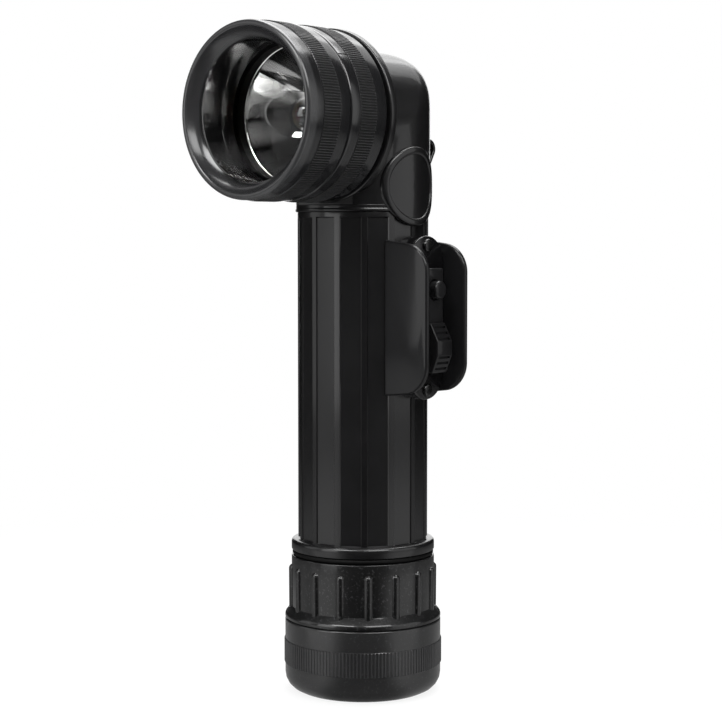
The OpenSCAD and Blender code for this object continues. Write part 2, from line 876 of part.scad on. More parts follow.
module battery_lower() {
    cell(cell_z);
}

module battery_upper() {
    cell(cell_z + cell_len);
}

// Riveted end of the belt clip with the inner half of its fold
module belt_clip_base() {
    color(steel)
    difference() {
        along_x(clip_w)
            bent_strip([[fold_z - clip_pad_z, -90, fold_r]], [clip_mid_y, clip_pad_z], 90, clip_t);
        translate([0, 0, clip_rivet_z])
            rotate([-90, 0, 0])
                cylinder(d = clip_rivet_d, h = boss_y + 2 * clip_t);
    }
}

// Springing leg of the belt clip, from the top of its fold to its flared tip
module belt_clip_leg() {
    top = [clip_mid_y + fold_r, fold_z + fold_r];
    shoulder = 5.2;
    shoulder_bend = 4;
    grip_run = 8;
    grip_tilt = 8;
    lip_run = 5;
    lip_flare = 33;
    color(steel)
    along_x(clip_w)
        bent_strip([[clip_joint_gap, -90 - fold_slant, fold_r], [shoulder, fold_slant, shoulder_bend],
            [clip_leg, -grip_tilt, grip_run], [grip_run, lip_flare, shoulder_bend], [lip_run, 0, 0]],
            top + [clip_joint_gap, 0], 0, clip_t);
}

// Rivet that holds the belt clip on the elbow
module clip_rivet() {
    color(steel) {
        translate([0, chamber_r + slide_gap, clip_rivet_z])
            rotate([-90, 0, 0])
                cylinder(d = clip_rivet_d, h = boss_y + clip_t - chamber_r - slide_gap);
        translate([0, boss_y + clip_t, clip_rivet_z])
            rotate([-90, 0, 0])
                domed_head(clip_rivet_head_d, clip_rivet_head_h);
    }
}

// Height of the reflector's inner face at a radius, counted along the lamp's axis
function bowl_s(r) = apex_s + r * r / (4 * focus);

// Deep bowl of the reflector with its rim skirt and the neck for the bulb
module reflector() {
    hole_r = bulb_d / 2 + slide_gap;
    skirt_r = lens_r - reflector_t;
    skirt_s = lens_thread_end + slide_gap;
    neck_back = bulb_seat_s - retainer_plug_len;
    steps = 14;
    radii = [for (i = [0 : steps]) hole_r + (reflector_r - hole_r) * i / steps];
    inside = [for (r = radii) [r, bowl_s(r)]];
    outside = [for (i = [steps - 1 : -1 : 2])
        [radii[i] + reflector_t / 2, bowl_s(radii[i]) - reflector_t]];
    color(chrome)
    on_lamp_axis()
        rotate_extrude()
            polygon(concat(inside, [[lens_r, rim_s], [lens_r, skirt_s], [skirt_r, skirt_s],
                [skirt_r, bowl_s(reflector_r) - 2 * reflector_t]], outside,
                [[lamp_neck_r, bowl_s(hole_r)], [lamp_neck_r, neck_back],
                [bulb_neck_r, neck_back], [bulb_neck_r, bulb_seat_s], [hole_r, bulb_seat_s]]));
}

// Half section of a bulb's glass, counted from the front of its flange
module bulb_glass_section() {
    wall = 0.6;
    ball_r = bulb_d / 2;
    stem_r = bulb_shell_d / 2 - wall / 2;
    difference() {
        union() {
            square([stem_r, bulb_len - ball_r]);
            intersection() {
                translate([0, bulb_len - ball_r])
                    circle(ball_r);
                square([ball_r, bulb_len]);
            }
        }
        translate([0, -past])
            square([stem_r - wall, bulb_len - ball_r + past]);
        intersection() {
            translate([0, bulb_len - ball_r])
                circle(ball_r - wall);
            square([ball_r, bulb_len]);
        }
    }
}

// Half section of a bulb's flange and shell, counted from the front of its flange
module bulb_base_section() {
    translate([0, -bulb_flange_t])
        square([bulb_flange_d / 2, bulb_flange_t]);
    translate([0, bulb_foot_len - bulb_shell_len - bulb_flange_t])
        square([bulb_shell_d / 2, bulb_shell_len - bulb_foot_len + sliver]);
}

// Half section of a bulb's insulating foot and solder contact, counted from its tip
module bulb_foot_section(height) {
    tip_r = 1.4;
    polygon([[0, 0], [tip_r, 0], [tip_r + slide_gap, height / 3],
        [bulb_shell_d / 2 - tip_r / 2, height / 2], [bulb_shell_d / 2, height], [0, height]]);
}

module bulb_glass() {
    color(glass)
    on_lamp_axis(bulb_seat_s)
        rotate_extrude()
            bulb_glass_section();
}

// Filament on its two posts, with the bead that spaces them
module bulb_filament() {
    post_x = 1.4;
    post_r = 0.25;
    post_len = bulb_len - bulb_d / 2 + 2 * post_r;
    bead_z = 1.2;
    bead_len = 3.6;
    color(fibre_red)
    on_lamp_axis(bulb_seat_s)
        union() {
            for (x = [-post_x, post_x])
                translate([x, 0, 0])
                    cylinder(r = post_r, h = post_len);
            translate([0, 0, bead_z])
                cylinder(r = post_x + 2 * post_r, h = bead_len);
            translate([-post_x, 0, post_len - post_r])
                rotate([0, 90, 0])
                    cylinder(r = post_r, h = 2 * post_x);
        }
}

module bulb_base() {
    color(brass)
    on_lamp_axis(bulb_seat_s - seat_gap)
        rotate_extrude()
            bulb_base_section();
}

// Insulating foot of the bulb with its solder contact
module bulb_foot() {
    color(rubber_black)
    on_lamp_axis(bulb_foot_s)
        rotate_extrude()
            bulb_foot_section(bulb_foot_len - sliver);
}

// Sleeve that presses the bulb's flange against the reflector's seat
module bulb_retainer() {
    shell_r = bulb_shell_d / 2 + slide_gap;
    collar_s = bulb_seat_s - retainer_plug_len - slide_gap;
    color(brass)
    on_lamp_axis()
        rotate_extrude() {
            translate([shell_r, collar_s - retainer_len])
                square([retainer_r - shell_r, retainer_len]);
            translate([shell_r, collar_s - sliver])
                square([bulb_neck_r - slide_gap - shell_r, bulb_flange_s - seat_gap - collar_s]);
        }
}

module lens() {
    color(glass)
    on_lamp_axis(lens_s)
        cylinder(r = lens_r, h = lens_t);
}

module lens_gasket() {
    color(rubber_black)
    on_lamp_axis(gasket_s)
        ring(lens_r, reflector_r + reflector_t / 2, gasket_t);
}

// Screwed ring that holds the lens and the reflector on the elbow
module lens_ring() {
    front = lens_ring_s + lens_ring_len;
    edge = 0.8;
    notch_w = 0.7;
    notch_depth = 0.5;
    notch_angle = 39;
    color(shell_black)
    on_lamp_axis()
        difference() {
            union() {
                translate([0, 0, lens_ring_s])
                    rotate_extrude()
                        round_edged_section(ring_r, lens_ring_len, edge);
                translate([0, 0, lens_ring_s + lens_grip_back])
                    grip_band(ring_r, lens_grip_len, head_ridges);
                translate([0, 0, front - sliver])
                    cylinder(r = filter_thread_r, h = filter_thread_len + sliver);
            }
            translate([0, 0, lens_ring_s - past])
                cylinder(r = lens_thread_r + thread_gap,
                    h = lens_thread_end + slide_gap - lens_ring_s + past);
            translate([0, 0, lens_thread_end])
                cylinder(r = lens_pocket_r, h = lip_s - lens_thread_end);
            translate([0, 0, lip_s - past])
                cylinder(r = lip_r, h = filter_thread_len + 2 * past);
            // Index notch in the front band
            rotate(notch_angle)
                translate([ring_r - notch_depth, -notch_w / 2, lens_ring_s + lens_grip_back + lens_grip_len])
                    cube([past, notch_w, front - lens_ring_s - lens_grip_back - lens_grip_len + past]);
        }
}

// Seal ring in the corner between the two head rings
module filter_seal() {
    color(rubber_black)
    on_lamp_axis(lens_ring_s + lens_ring_len + seal_wire_r + seat_gap)
        rotate_extrude()
            translate([seal_ring_r, 0])
                circle(seal_wire_r);
}

// Front ring with its round rim and funnel mouth, which clamps a filter against the lens ring
module filter_ring() {
    edge = 0.6;
    shoulder_s = filter_thread_end + slide_gap;
    front_h = 3 * filter_ring_len / 4;
    lip = filter_ring_len - funnel_depth;
    color(shell_black)
    on_lamp_axis()
        difference() {
            union() {
                translate([0, 0, filter_ring_s])
                    rotate_extrude()
                        difference() {
                            union() {
                                round_edged_section(ring_r, filter_ring_len / 2, edge);
                                translate([0, filter_ring_len - front_h])
                                    round_edged_section(ring_r, front_h, rim_round);
                            }
                            translate([0, -past])
                                square([mouth_r, filter_ring_len + 2 * past]);
                            translate([mouth_r, lip])
                                polygon([[-past, 0], [0, 0], [funnel_spread, funnel_depth],
                                    [-past, funnel_depth]]);
                        }
                translate([0, 0, filter_ring_s + filter_grip_back])
                    grip_band(ring_r, filter_grip_len, head_ridges);
            }
            translate([0, 0, filter_ring_s - past])
                cylinder(r = filter_thread_r + thread_gap, h = shoulder_s - filter_ring_s + past);
            translate([0, 0, filter_ring_s - past])
                cylinder(r = seal_ring_r + seal_wire_r + seat_gap, h = 2 * seal_wire_r + past);
        }
}

// Seal ring between the barrel's collar and the battery cap
module cap_seal() {
    wire_r = seal_gap / 2 - seat_gap;
    color(rubber_black)
    translate([0, 0, cap_top_z + seal_gap / 2])
        rotate_extrude()
            translate([neck_r + seat_gap + wire_r, 0])
                circle(wire_r);
}

// Battery cap with its ribbed grip, its shoulder and the thread for the base cover
module battery_cap() {
    edge = 0.7;
    lead = 0.5;
    band = 0.8;
    rib_sink = 1;
    rib_z = cap_z + shoulder_h - rib_sink;
    color(cap_grey)
    difference() {
        union() {
            rotate_extrude() {
                translate([0, cap_z])
                    polygon([[0, 0], [cover_r - lead, 0], [cover_r, lead], [cover_r, lead + band],
                        [cap_r + lead, shoulder_h - lead], [cap_r, shoulder_h], [0, shoulder_h]]);
                translate([0, cap_z])
                    round_edged_section(cap_r, cap_h, edge);
                translate([0, cap_z - cap_thread_len])
                    square([cap_thread_r, cap_thread_len + sliver]);
            }
            for (i = [0 : rib_count - 1])
                rotate(i * 360 / rib_count)
                    translate([cap_r + rib_proud - rib_r, 0, rib_z]) {
                        cylinder(r = rib_r, h = rib_h);
                        translate([0, 0, rib_h])
                            sphere(rib_r);
                    }
        }
        // Neck of the barrel, pocket of the contact and the room for the spares
        translate([0, 0, neck_z - 4 * slide_gap])
            cylinder(r = cap_bore_r, h = cap_h);
        translate([0, 0, cap_contact_z])
            cylinder(r = contact_r + slide_gap, h = cap_h);
        translate([0, 0, cap_z - cap_thread_len - past])
            cylinder(r = spares_r, h = cap_floor_z - cap_z + cap_thread_len + past);
    }
}

// Metal cup on the cap's floor that joins the spring to the lower contact strip
module cap_contact() {
    color(brass)
    translate([0, 0, cap_contact_z])
        difference() {
            cylinder(r = contact_r, h = neck_z - 3 * seat_gap - strip_t - cap_contact_z);
            translate([0, 0, strip_t])
                cylinder(r = contact_r - strip_t, h = cap_h);
        }
}

// Conical battery spring that presses the cells up
module battery_spring() {
    count = len(spring_points);
    verts = [for (p = spring_points, k = [0 : spring_sides - 1])
        let (out = [p.x, p.y, 0] / norm([p.x, p.y]), a = 360 * k / spring_sides)
        p + spring_wire / 2 * (cos(a) * out + [0, 0, sin(a)])];
    walls = [for (i = [0 : count - 2], k = [0 : spring_sides - 1])
        let (a = i * spring_sides + k, b = i * spring_sides + (k + 1) % spring_sides)
        each [[a, a + spring_sides, b], [b, a + spring_sides, b + spring_sides]]];
    first = [for (k = [1 : spring_sides - 2]) [0, k, k + 1]];
    last = [for (k = [1 : spring_sides - 2])
        let (base = (count - 1) * spring_sides) [base, base + k + 1, base + k]];
    color(steel)
    polyhedron(verts, concat(walls, first, last));
}

// Spare filters that lie in the base cover
module spare_filter(place) {
    translate([0, 0, cover_floor + seat_gap + place * filter_pitch])
        cylinder(r = cover_bore_r - 2 * slide_gap, h = filter_t);
}

module spare_filter_red() {
    color([0.7, 0.08, 0.08, 0.6])
    spare_filter(0);
}

module spare_filter_blue() {
    color([0.08, 0.15, 0.6, 0.6])
    spare_filter(1);
}

module spare_filter_diffuser() {
    color([0.92, 0.92, 0.9, 0.8])
    spare_filter(2);
}

// Places the spare bulb lying along X in the middle of the base
module on_spare_bulb() {
    translate([-spare_mid, 0, spare_bulb_z])
        rotate([0, 90, 0])
            children();
}

// Foam disc with a pocket for the spare bulb, open at its top
module spare_bulb_cushion() {
    soft_gap = 0.15;
    pocket_len = bulb_shell_len + bulb_len + bulb_flange_t + 2 * soft_gap;
    pocket_d = bulb_d + 2 * soft_gap;
    pocket_x = -spare_mid - bulb_shell_len - bulb_flange_t - soft_gap;
    flange_len = bulb_flange_t + seat_gap + 2 * soft_gap;
    flange_w = bulb_flange_d + 2 * soft_gap;
    flange_x = -spare_mid - bulb_flange_t - seat_gap - soft_gap;
    color(foam_grey)
    difference() {
        translate([0, 0, cushion_z])
            cylinder(r = spares_r - 2 * slide_gap, h = cap_floor_z - seat_gap - cushion_z);
        translate([pocket_x, 0, spare_bulb_z])
            rotate([0, 90, 0])
                cylinder(d = pocket_d, h = pocket_len);
        translate([flange_x, 0, spare_bulb_z])
            rotate([0, 90, 0])
                cylinder(d = flange_w, h = flange_len);
        translate([pocket_x, -pocket_d / 2, spare_bulb_z])
            cube([pocket_len, pocket_d, bulb_d]);
        translate([flange_x, -flange_w / 2, spare_bulb_z])
            cube([flange_len, flange_w, bulb_d]);
    }
}

module spare_bulb_glass() {
    color(glass)
    on_spare_bulb()
        rotate_extrude()
            bulb_glass_section();
}

// Shell, flange and foot of the spare bulb
module spare_bulb_base() {
    color(brass)
    on_spare_bulb()
        translate([0, 0, -seat_gap])
            rotate_extrude() {
                bulb_base_section();
                translate([0, -bulb_shell_len - bulb_flange_t])
                    bulb_foot_section(bulb_foot_len + sliver);
            }
}

// Base cover: a screwed cup with a grip band that holds the spares
module base_cover() {
    lead = 0.5;
    color(cap_grey)
    difference() {
        union() {
            rotate_extrude() {
                square([cover_r - cover_round, cover_h]);
                translate([0, cover_round])
                    square([cover_r, cover_h - cover_round - lead]);
                translate([0, cover_h - lead - sliver])
                    polygon([[0, 0], [cover_r, 0], [cover_r - lead, lead + sliver], [0, lead + sliver]]);
                translate([cover_r - cover_round, cover_round])
                    circle(cover_round);
            }
            translate([0, 0, cover_grip_z])
                grip_band(cover_r, cover_grip_h, cover_ridges);
        }
        translate([0, 0, cover_floor])
            cylinder(r = cover_bore_r, h = cover_h);
    }
}

barrel();
elbow_housing();
switch_guard();
guard_rivets();
lower_contact_strip();
upper_contact_strip();
contact_insulator();
centre_contact();
battery_lower();
battery_upper();
belt_clip_base();
belt_clip_leg();
clip_rivet();
switch_slide();
slide_contact();
signal_button();
reflector();
bulb_glass();
bulb_filament();
bulb_base();
bulb_foot();
bulb_retainer();
lens();
lens_gasket();
lens_ring();
filter_seal();
filter_ring();
cap_seal();
battery_cap();
cap_contact();
battery_spring();
spare_filter_red();
spare_filter_blue();
spare_filter_diffuser();
spare_bulb_cushion();
spare_bulb_glass();
spare_bulb_base();
base_cover();
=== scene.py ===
"""Looks of an angle head flashlight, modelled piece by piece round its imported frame.

Lengths are in metres. The torch stands on z = 0, the lamp looks along -Y, the switch faces +X
and the belt clip is on +Y.
"""

import math

import bmesh
import bpy
from bpy.props import FloatProperty, FloatVectorProperty, IntProperty, PointerProperty
from mathutils import Matrix, Vector


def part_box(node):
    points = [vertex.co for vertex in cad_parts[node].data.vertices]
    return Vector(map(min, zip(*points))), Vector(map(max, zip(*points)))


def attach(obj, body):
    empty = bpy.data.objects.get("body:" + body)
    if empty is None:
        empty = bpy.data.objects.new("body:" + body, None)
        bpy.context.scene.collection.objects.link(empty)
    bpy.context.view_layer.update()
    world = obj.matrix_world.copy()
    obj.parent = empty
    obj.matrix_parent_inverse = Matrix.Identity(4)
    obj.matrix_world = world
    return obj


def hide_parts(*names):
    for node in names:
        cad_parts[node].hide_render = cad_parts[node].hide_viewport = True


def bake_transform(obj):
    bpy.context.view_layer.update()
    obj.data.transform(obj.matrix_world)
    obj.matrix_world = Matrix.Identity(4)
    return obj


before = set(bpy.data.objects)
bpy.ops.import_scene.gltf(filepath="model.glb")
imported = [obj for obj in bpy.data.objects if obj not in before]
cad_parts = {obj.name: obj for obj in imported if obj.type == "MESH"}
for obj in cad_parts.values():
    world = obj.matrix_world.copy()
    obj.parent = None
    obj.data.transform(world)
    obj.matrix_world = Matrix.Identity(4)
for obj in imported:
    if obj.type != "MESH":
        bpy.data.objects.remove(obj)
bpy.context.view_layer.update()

bl_info = {
    "name": "Angle Head Flashlight",
    "version": (1, 0, 0),
    "blender": (4, 5, 0),
    "location": "View3D > Sidebar > Flashlight",
    "description": "Models an angle head flashlight round its packed frame",
    "category": "Object",
}

MM = 0.001
FULL = 2 * math.pi
QUARTER = math.pi / 2
WELD = 0.002 * MM
ROUND_STEPS = 5
# Scales of the noises that mottle and grain the mouldings
MOTTLE = 70.0
GRAIN = 2400.0


def low(node, axis):
    """Lowest place of a CAD node along x, y or z."""
    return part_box(node)[0]["xyz".index(axis)]


def high(node, axis):
    """Highest place of a CAD node along x, y or z."""
    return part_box(node)[1]["xyz".index(axis)]


HEAD_Z = (low("lens", "z") + high("lens", "z")) / 2
ON_LAMP = Matrix.Translation((0, 0, HEAD_Z)) @ Matrix.Rotation(QUARTER, 4, "X")
ON_SWITCH = Matrix.Rotation(QUARTER, 4, "Y")


# Properties


def length(name, description, value):
    """A length property with its default in metres."""
    return FloatProperty(
        name=name, description=description, default=value, min=0, unit="LENGTH", subtype="DISTANCE"
    )


def colour(name, description, value):
    """A colour property from three linear values."""
    return FloatVectorProperty(
        name=name, description=description, default=value, size=3, min=0, max=1, subtype="COLOR"
    )


def share(name, description, value):
    """A property between 0 and 1."""
    return FloatProperty(
        name=name, description=description, default=value, min=0, max=1, subtype="FACTOR"
    )


def degrees(name, description, value):
    """An angle property from degrees."""
    return FloatProperty(
        name=name, description=description, default=math.radians(value), subtype="ANGLE"
    )


def amount(name, description, value, least=0):
    """A plain number without a unit."""
    return FloatProperty(name=name, description=description, default=value, min=least)


def count(name, description, value, least):
    """A number of things that repeat round the torch."""
    return IntProperty(name=name, description=description, default=value, min=least)


class TorchBarrelSizes(bpy.types.PropertyGroup):
    """Sizes of the barrel and the elbow."""

    radius: length("Barrel radius", "Tops of the ridges between flutes", 20.0 * MM)
    bore: length("Bore", "Inner radius of the barrel", 17.3 * MM)
    collar: length("Collar radius", "Bead above the battery cap", high("barrel", "x"))
    collar_low: length("Collar foot", "Lower edge of the collar", 43.7 * MM)
    collar_high: length("Collar top", "Upper edge of the collar", 47.0 * MM)
    collar_round: length("Collar round", "Upper edge radius of the collar", 1.15 * MM)
    collar_edge: length("Collar edge", "Lower edge radius of the collar", 0.25 * MM)
    flutes: count("Flutes", "Flutes round the barrel", 15, 6)
    flute_floor: length("Flute floor", "Distance of a flute's floor from the axis", 19.4 * MM)
    flute_flank: length("Flute flank", "Width of a flute's sloped side", 0.3 * MM)
    flute_high: length("Flute top", "Height at which the flutes end", 145.4 * MM)
    seam: length("Seam", "Height of the joint with the elbow", high("barrel", "z") - 1.2 * MM)
    register: length("Register radius", "Step that locates the elbow", 18.8 * MM)
    elbow: length("Elbow radius", "Outer radius of the elbow", 20.45 * MM)
    elbow_wall: length("Elbow wall", "Thickness of the elbow's wall", 2.1 * MM)
    elbow_foot: length("Elbow foot", "Height of the full ring over the seam", 2.1 * MM)
    corner_power: amount("Corner power", "Squareness of the elbow's back", 3.6, 2)
    flange: length("Flange radius", "Flange behind the lens ring", -low("elbow_housing", "x"))
    flange_back: length("Flange back", "Back of the flange along the lamp axis", 14.8 * MM)
    flange_front: length("Flange front", "Front of the flange along the lamp axis", 17.4 * MM)
    spigot_front: length("Spigot front", "End of the head thread", -low("elbow_housing", "y"))
    pad_z: length("Pad height", "Middle of the round pad", 154.5 * MM)
    pad: length("Pad radius", "Radius of the round pad", 11.8 * MM)
    pad_rim: length("Pad rim", "Width of the raised rim", 1.9 * MM)
    pad_out: length("Pad reach", "Distance of the rim from the barrel axis", 21.3 * MM)
    pad_sink: length("Pad sink", "Depth of the bare field below the rim", 0.45 * MM)


class TorchHeadSizes(bpy.types.PropertyGroup):
    """Sizes of the head rings, measured along the lamp axis from the barrel axis."""

    ring: length("Ring radius", "Smooth bands of both head rings", 25.4 * MM)
    ridges: count("Ridges", "Ridges of a grip band", 198, 24)
    ridge: length("Ridge height", "Height of a grip ridge", 0.22 * MM)
    step: length("Grip step", "Step of a grip band over the ring", 0.08 * MM)
    flank: length("Ridge flank", "Width of a ridge's sloped side", 0.12 * MM)
    lens_back: length("Lens ring back", "Back of the lens ring", -high("lens_ring", "y"))
    lens_shoulder: length("Lens ring shoulder", "Front of its outer band", 34.3 * MM)
    lens_front: length("Lens ring front", "End of its thread", -low("lens_ring", "y"))
    lens_grip: length("Lens ring grip", "Start of its grip band", 23.3 * MM)
    grip: length("Grip width", "Width of a grip band", 7.0 * MM)
    notch: degrees("Notch angle", "Place of the index notch", 39)
    filter_back: length("Filter ring back", "Back of the filter ring", -high("filter_ring", "y"))
    filter_front: length("Filter ring front", "Crest of the rim", -low("filter_ring", "y"))
    filter_grip: length("Filter ring grip", "Start of its grip band", 38.75 * MM)
    rim: length("Rim round", "Radius of the rim's outer edge", 1.1 * MM)
    mouth: length("Mouth radius", "Opening of the rim", 20.4 * MM)
    funnel: length("Funnel depth", "Depth of the mouth's slope behind the rim", 4.1 * MM)
    funnel_round: length("Funnel round", "Radius of the slope's gentle bulge", 7.0 * MM)
    thread: length("Thread height", "Height of a thread ridge", 0.55 * MM)


class TorchFootSizes(bpy.types.PropertyGroup):
    """Sizes of the battery cap and the base cover."""

    cap: length("Cap radius", "Panels between the ribs", 22.0 * MM)
    cap_top: length("Cap top", "Top edge of the battery cap", high("battery_cap", "z"))
    cap_low: length("Cap foot", "Lower end of its thread", low("battery_cap", "z"))
    shoulder_z: length("Shoulder", "Underside of the cap's shoulder", 22.5 * MM)
    shoulder: length("Shoulder radius", "Widest place of the shoulder", 24.05 * MM)
    ribs: count("Ribs", "Ribs round the cap", 16, 4)
    rib: length("Rib radius", "Radius of a rib", 1.4 * MM)
    rib_out: length("Rib crest", "Distance of a rib's crest from the axis", 22.9 * MM)
    rib_low: length("Rib foot", "Lower end of a rib", 24.6 * MM)
    rib_high: length("Rib top", "Upper end of a rib's straight run", 37.5 * MM)
    cover: length("Cover radius", "Smooth bands of the base cover", 24.05 * MM)
    cover_top: length("Cover top", "Top edge of the base cover", high("base_cover", "z"))
    cover_round: length("Cover round", "Radius of the bottom edge", 5.4 * MM)
    grip_low: length("Cover grip foot", "Lower edge of its grip band", 8.4 * MM)
    grip_high: length("Cover grip top", "Upper edge of its grip band", 16.0 * MM)
    ridges: count("Ridges", "Ridges of the grip band", 140, 24)


class TorchSwitchSizes(bpy.types.PropertyGroup):
    """Sizes of the switch guard, the slide and the belt clip."""

    centre: length("Guard middle", "Height of the guard's middle", 115.4 * MM)
    fin: length("Fin thickness", "Thickness of a fin", 1.9 * MM)
    fin_side: length("Fin side", "Outer face of a fin", high("switch_guard", "y"))
    fin_out: length("Fin reach", "Outer edge of the fins", high("switch_guard", "x"))
    fin_half: length("Fin half length", "Half the length of a fin at its root", 23.2 * MM)
    fin_round: length("Fin round", "Radius of a fin's corners", 7.6 * MM)
    fin_edge: length("Fin edge", "Soft edge of the fins", 0.8 * MM)
    base_top: length("Guard base", "Outer face of the guard's base", 25.2 * MM)
    base_half: length("Base half length", "Half the length of the base", 24.4 * MM)
    base_round: length("Base round", "Radius of the base's round ends", 8.1 * MM)
    slide_low: length("Slide foot", "Lower end of the tongue", low("switch_slide", "z"))
    slide_half: length("Slide half width", "Half the width of the tongue", 4.3 * MM)
    tongue_in: length("Tongue back", "Inner face of the tongue", 25.4 * MM)
    tongue_out: length("Tongue face", "Outer face of the tongue", 28.0 * MM)
    hump_high: length("Hump top", "Upper end of the thumb hump", 114.0 * MM)
    hump_half: length("Hump half width", "Half the width of the hump", 3.5 * MM)
    crest: length("Hump crest", "Crest of the hump", high("switch_slide", "x"))
    hump_slope: length("Hump slope", "Length of each slope", 5.145 * MM)
    hump_foot: length("Hump foot", "Reach of the hump's lower end", 29.92 * MM)
    hump_head: length("Hump head", "Reach of the hump's upper end", 29.28 * MM)
    button_z: length("Button height", "Middle of the button", 123.8 * MM)
    button: length("Button radius", "Radius of the button", 2.7 * MM)
    clip_half: length("Clip half width", "Half the width of the belt clip", 7.0 * MM)
    clip_thick: length("Clip thickness", "Thickness of the clip's strip", 1.0 * MM)


class TorchFinish(bpy.types.PropertyGroup):
    """Colours and gloss of the finishes."""

    body: colour("Body", "Black of the barrel, elbow and guard base", (0.0034, 0.0033, 0.0036))
    body_rough: share("Body roughness", "Roughness of the barrel", 0.34)
    switch: colour("Switch", "Rubbed black of the fins, slide and button", (0.006, 0.006, 0.0064))
    switch_rough: share("Switch roughness", "Roughness of the fins, slide and button", 0.38)
    head: colour("Head", "Black of the head rings", (0.0075, 0.0075, 0.008))
    # Paler colour of the painted sheen on the head rim and ridge tops, of rubbing there, and of
    # dust
    sheen_and_wear: colour("Rubbed", "Head rim, ridge tops and dust", (0.021, 0.021, 0.022))
    head_rough: share("Head roughness", "Roughness of the head rings", 0.12)
    cap: colour("Cap", "Black of the battery cap", (0.003, 0.003, 0.0031))
    cover: colour("Cover", "Dark grey of the base cover", (0.0105, 0.0105, 0.0108))
    cap_rough: share("Cap roughness", "Roughness of the cap and the cover", 0.45)
    # Black of the rubber seals; the head rings' grip grooves take it as painted shade
    rubber: colour("Rubber", "Black of the seals and the grip grooves", (0.0008, 0.0008, 0.0008))
    clip: colour("Clip", "Black enamel of the belt clip", (0.003, 0.003, 0.003))
    steel: colour("Steel", "Spring steel and rivets", (0.56, 0.55, 0.53))
    brass: colour("Brass", "Contact strips and bulb shells", (0.74, 0.53, 0.27))
    chrome: colour("Chrome", "Reflector", (0.93, 0.93, 0.92))
    bead: colour("Bead", "Glass bead in the bulb", (0.42, 0.012, 0.006))
    fibre: colour("Fibre", "Insulating discs", (0.16, 0.035, 0.018))
    jacket: colour("Jacket", "Plain jacket of the cells", (0.03, 0.05, 0.09))
    foam: colour("Foam", "Cushion under the spare bulb", (0.19, 0.18, 0.165))


class TorchStudio(bpy.types.PropertyGroup):
    """Camera and light of the stage."""

    azimuth: degrees("Azimuth", "Camera's place round the torch", 40.6976)
    look: degrees("Look", "Direction the camera looks in", 40.7588)
    pitch: degrees("Pitch", "Downward tilt of the camera", 3.9177)
    distance: length("Distance", "Camera's distance from the axis", 540.0 * MM)
    height: length("Height", "Camera's height over the floor", 138.42 * MM)
    focal: amount("Focal length", "Focal length in millimetres", 87.79, 10)
    sides: amount("Side light", "Radiance of the side boxes", 2.6)
    fronts: amount("Front light", "Radiance of the front boxes", 12)
    top: amount("Top light", "Radiance of the top box", 8)
    back: amount("Back light", "Radiance behind the torch", 1.7)
    ambient: share("Ambient", "Radiance from all other directions", 0.012)


# Materials


class Sock:
    """A shader socket that adds Math nodes when it is used in arithmetic."""

    def __init__(self, recipe, socket):
        self.recipe = recipe
        self.socket = socket

    def _math(self, operation, first, second):
        return self.recipe.math_node(operation, first, second)

    def __add__(self, other):
        return self._math("ADD", self, other)

    def __radd__(self, other):
        return self._math("ADD", other, self)

    def __sub__(self, other):
        return self._math("SUBTRACT", self, other)

    def __rsub__(self, other):
        return self._math("SUBTRACT", other, self)

    def __mul__(self, other):
        return self._math("MULTIPLY", self, other)

    def __truediv__(self, other):
        return self._math("DIVIDE", self, other)

    def __pow__(self, other):
        return self._math("POWER", self, other)

    def __gt__(self, other):
        return self._math("GREATER_THAN", self, other)

    def __lt__(self, other):
        return self._math("LESS_THAN", self, other)


class Recipe:
    """One node tree under construction."""

    def __init__(self, tree):
        self.tree = tree
        tree.nodes.clear()

    def node(self, kind, settings=None, values=None, out=0):
        """Adds a node: its settings first, then values or links for its inputs."""
        made = self.tree.nodes.new("ShaderNode" + kind)
        for key, value in (settings or {}).items():
            setattr(made, key, value)
        for key, value in (values or {}).items():
            if isinstance(value, Sock):
                self.tree.links.new(value.socket, made.inputs[key])
            else:
                made.inputs[key].default_value = value
        return Sock(self, made.outputs[out])

    def place(self):
        """Object coordinates."""
        return self.node("TexCoord", out="Object")

    def axes(self, names):
        """Object coordinates along each of the named axes."""
        place = self.place()
        return [self.node("SeparateXYZ", None, {0: place}, out=name) for name in names]

    def math_node(self, operation, first, second=0.0):
        """Result of a Math node."""
        return self.node("Math", {"operation": operation}, {0: first, 1: second})

    def noise(self, scale, detail=2.0):
        """Noise between 0 and 1 over the object's own coordinates."""
        values = {"Vector": self.place(), "Scale": scale, "Detail": detail}
        return self.node("TexNoise", None, values)

    def mix(self, factor, first, second):
        """Colour between two others."""
        return self.node("Mix", {"data_type": "RGBA"}, {0: factor, 6: first, 7: second}, out=2)

    def ramp(self, value, start, end):
        """Smooth rise from 0 at the start to 1 at the end."""
        places = {"Value": value, "From Min": start, "From Max": end}
        return self.node("MapRange", {"interpolation_type": "SMOOTHSTEP"}, places)

    def bump(self, height, depth):
        """Normal bent by a height of that depth in metres."""
        return self.node("Bump", None, {"Height": height, "Distance": depth, "Strength": 1.0})

    def shade(self, kind, surface):
        """Links a shader to the output of a material or a world."""
        output = self.tree.nodes.new("ShaderNodeOutput" + kind)
        self.tree.links.new(surface.socket, output.inputs["Surface"])


def rgba(value, gain=1.0):
    """Four numbers from a colour property."""
    return (*[min(1.0, part * gain) for part in value], 1.0)


def grey(value):
    """Four numbers of a neutral colour."""
    return (value, value, value, 1.0)


def material(slot, build, values):
    """The finish of a slot, built on first use; the frame's materials have the slots' names."""
    name = slot + "_finish"
    made = bpy.data.materials.get(name)
    if made is None:
        made = bpy.data.materials.new(name)
        made.use_nodes = True
        recipe = Recipe(made.node_tree)
        surface = build(recipe, *values)
        recipe.shade("Material", recipe.node("BsdfPrincipled", None, surface))
    return made


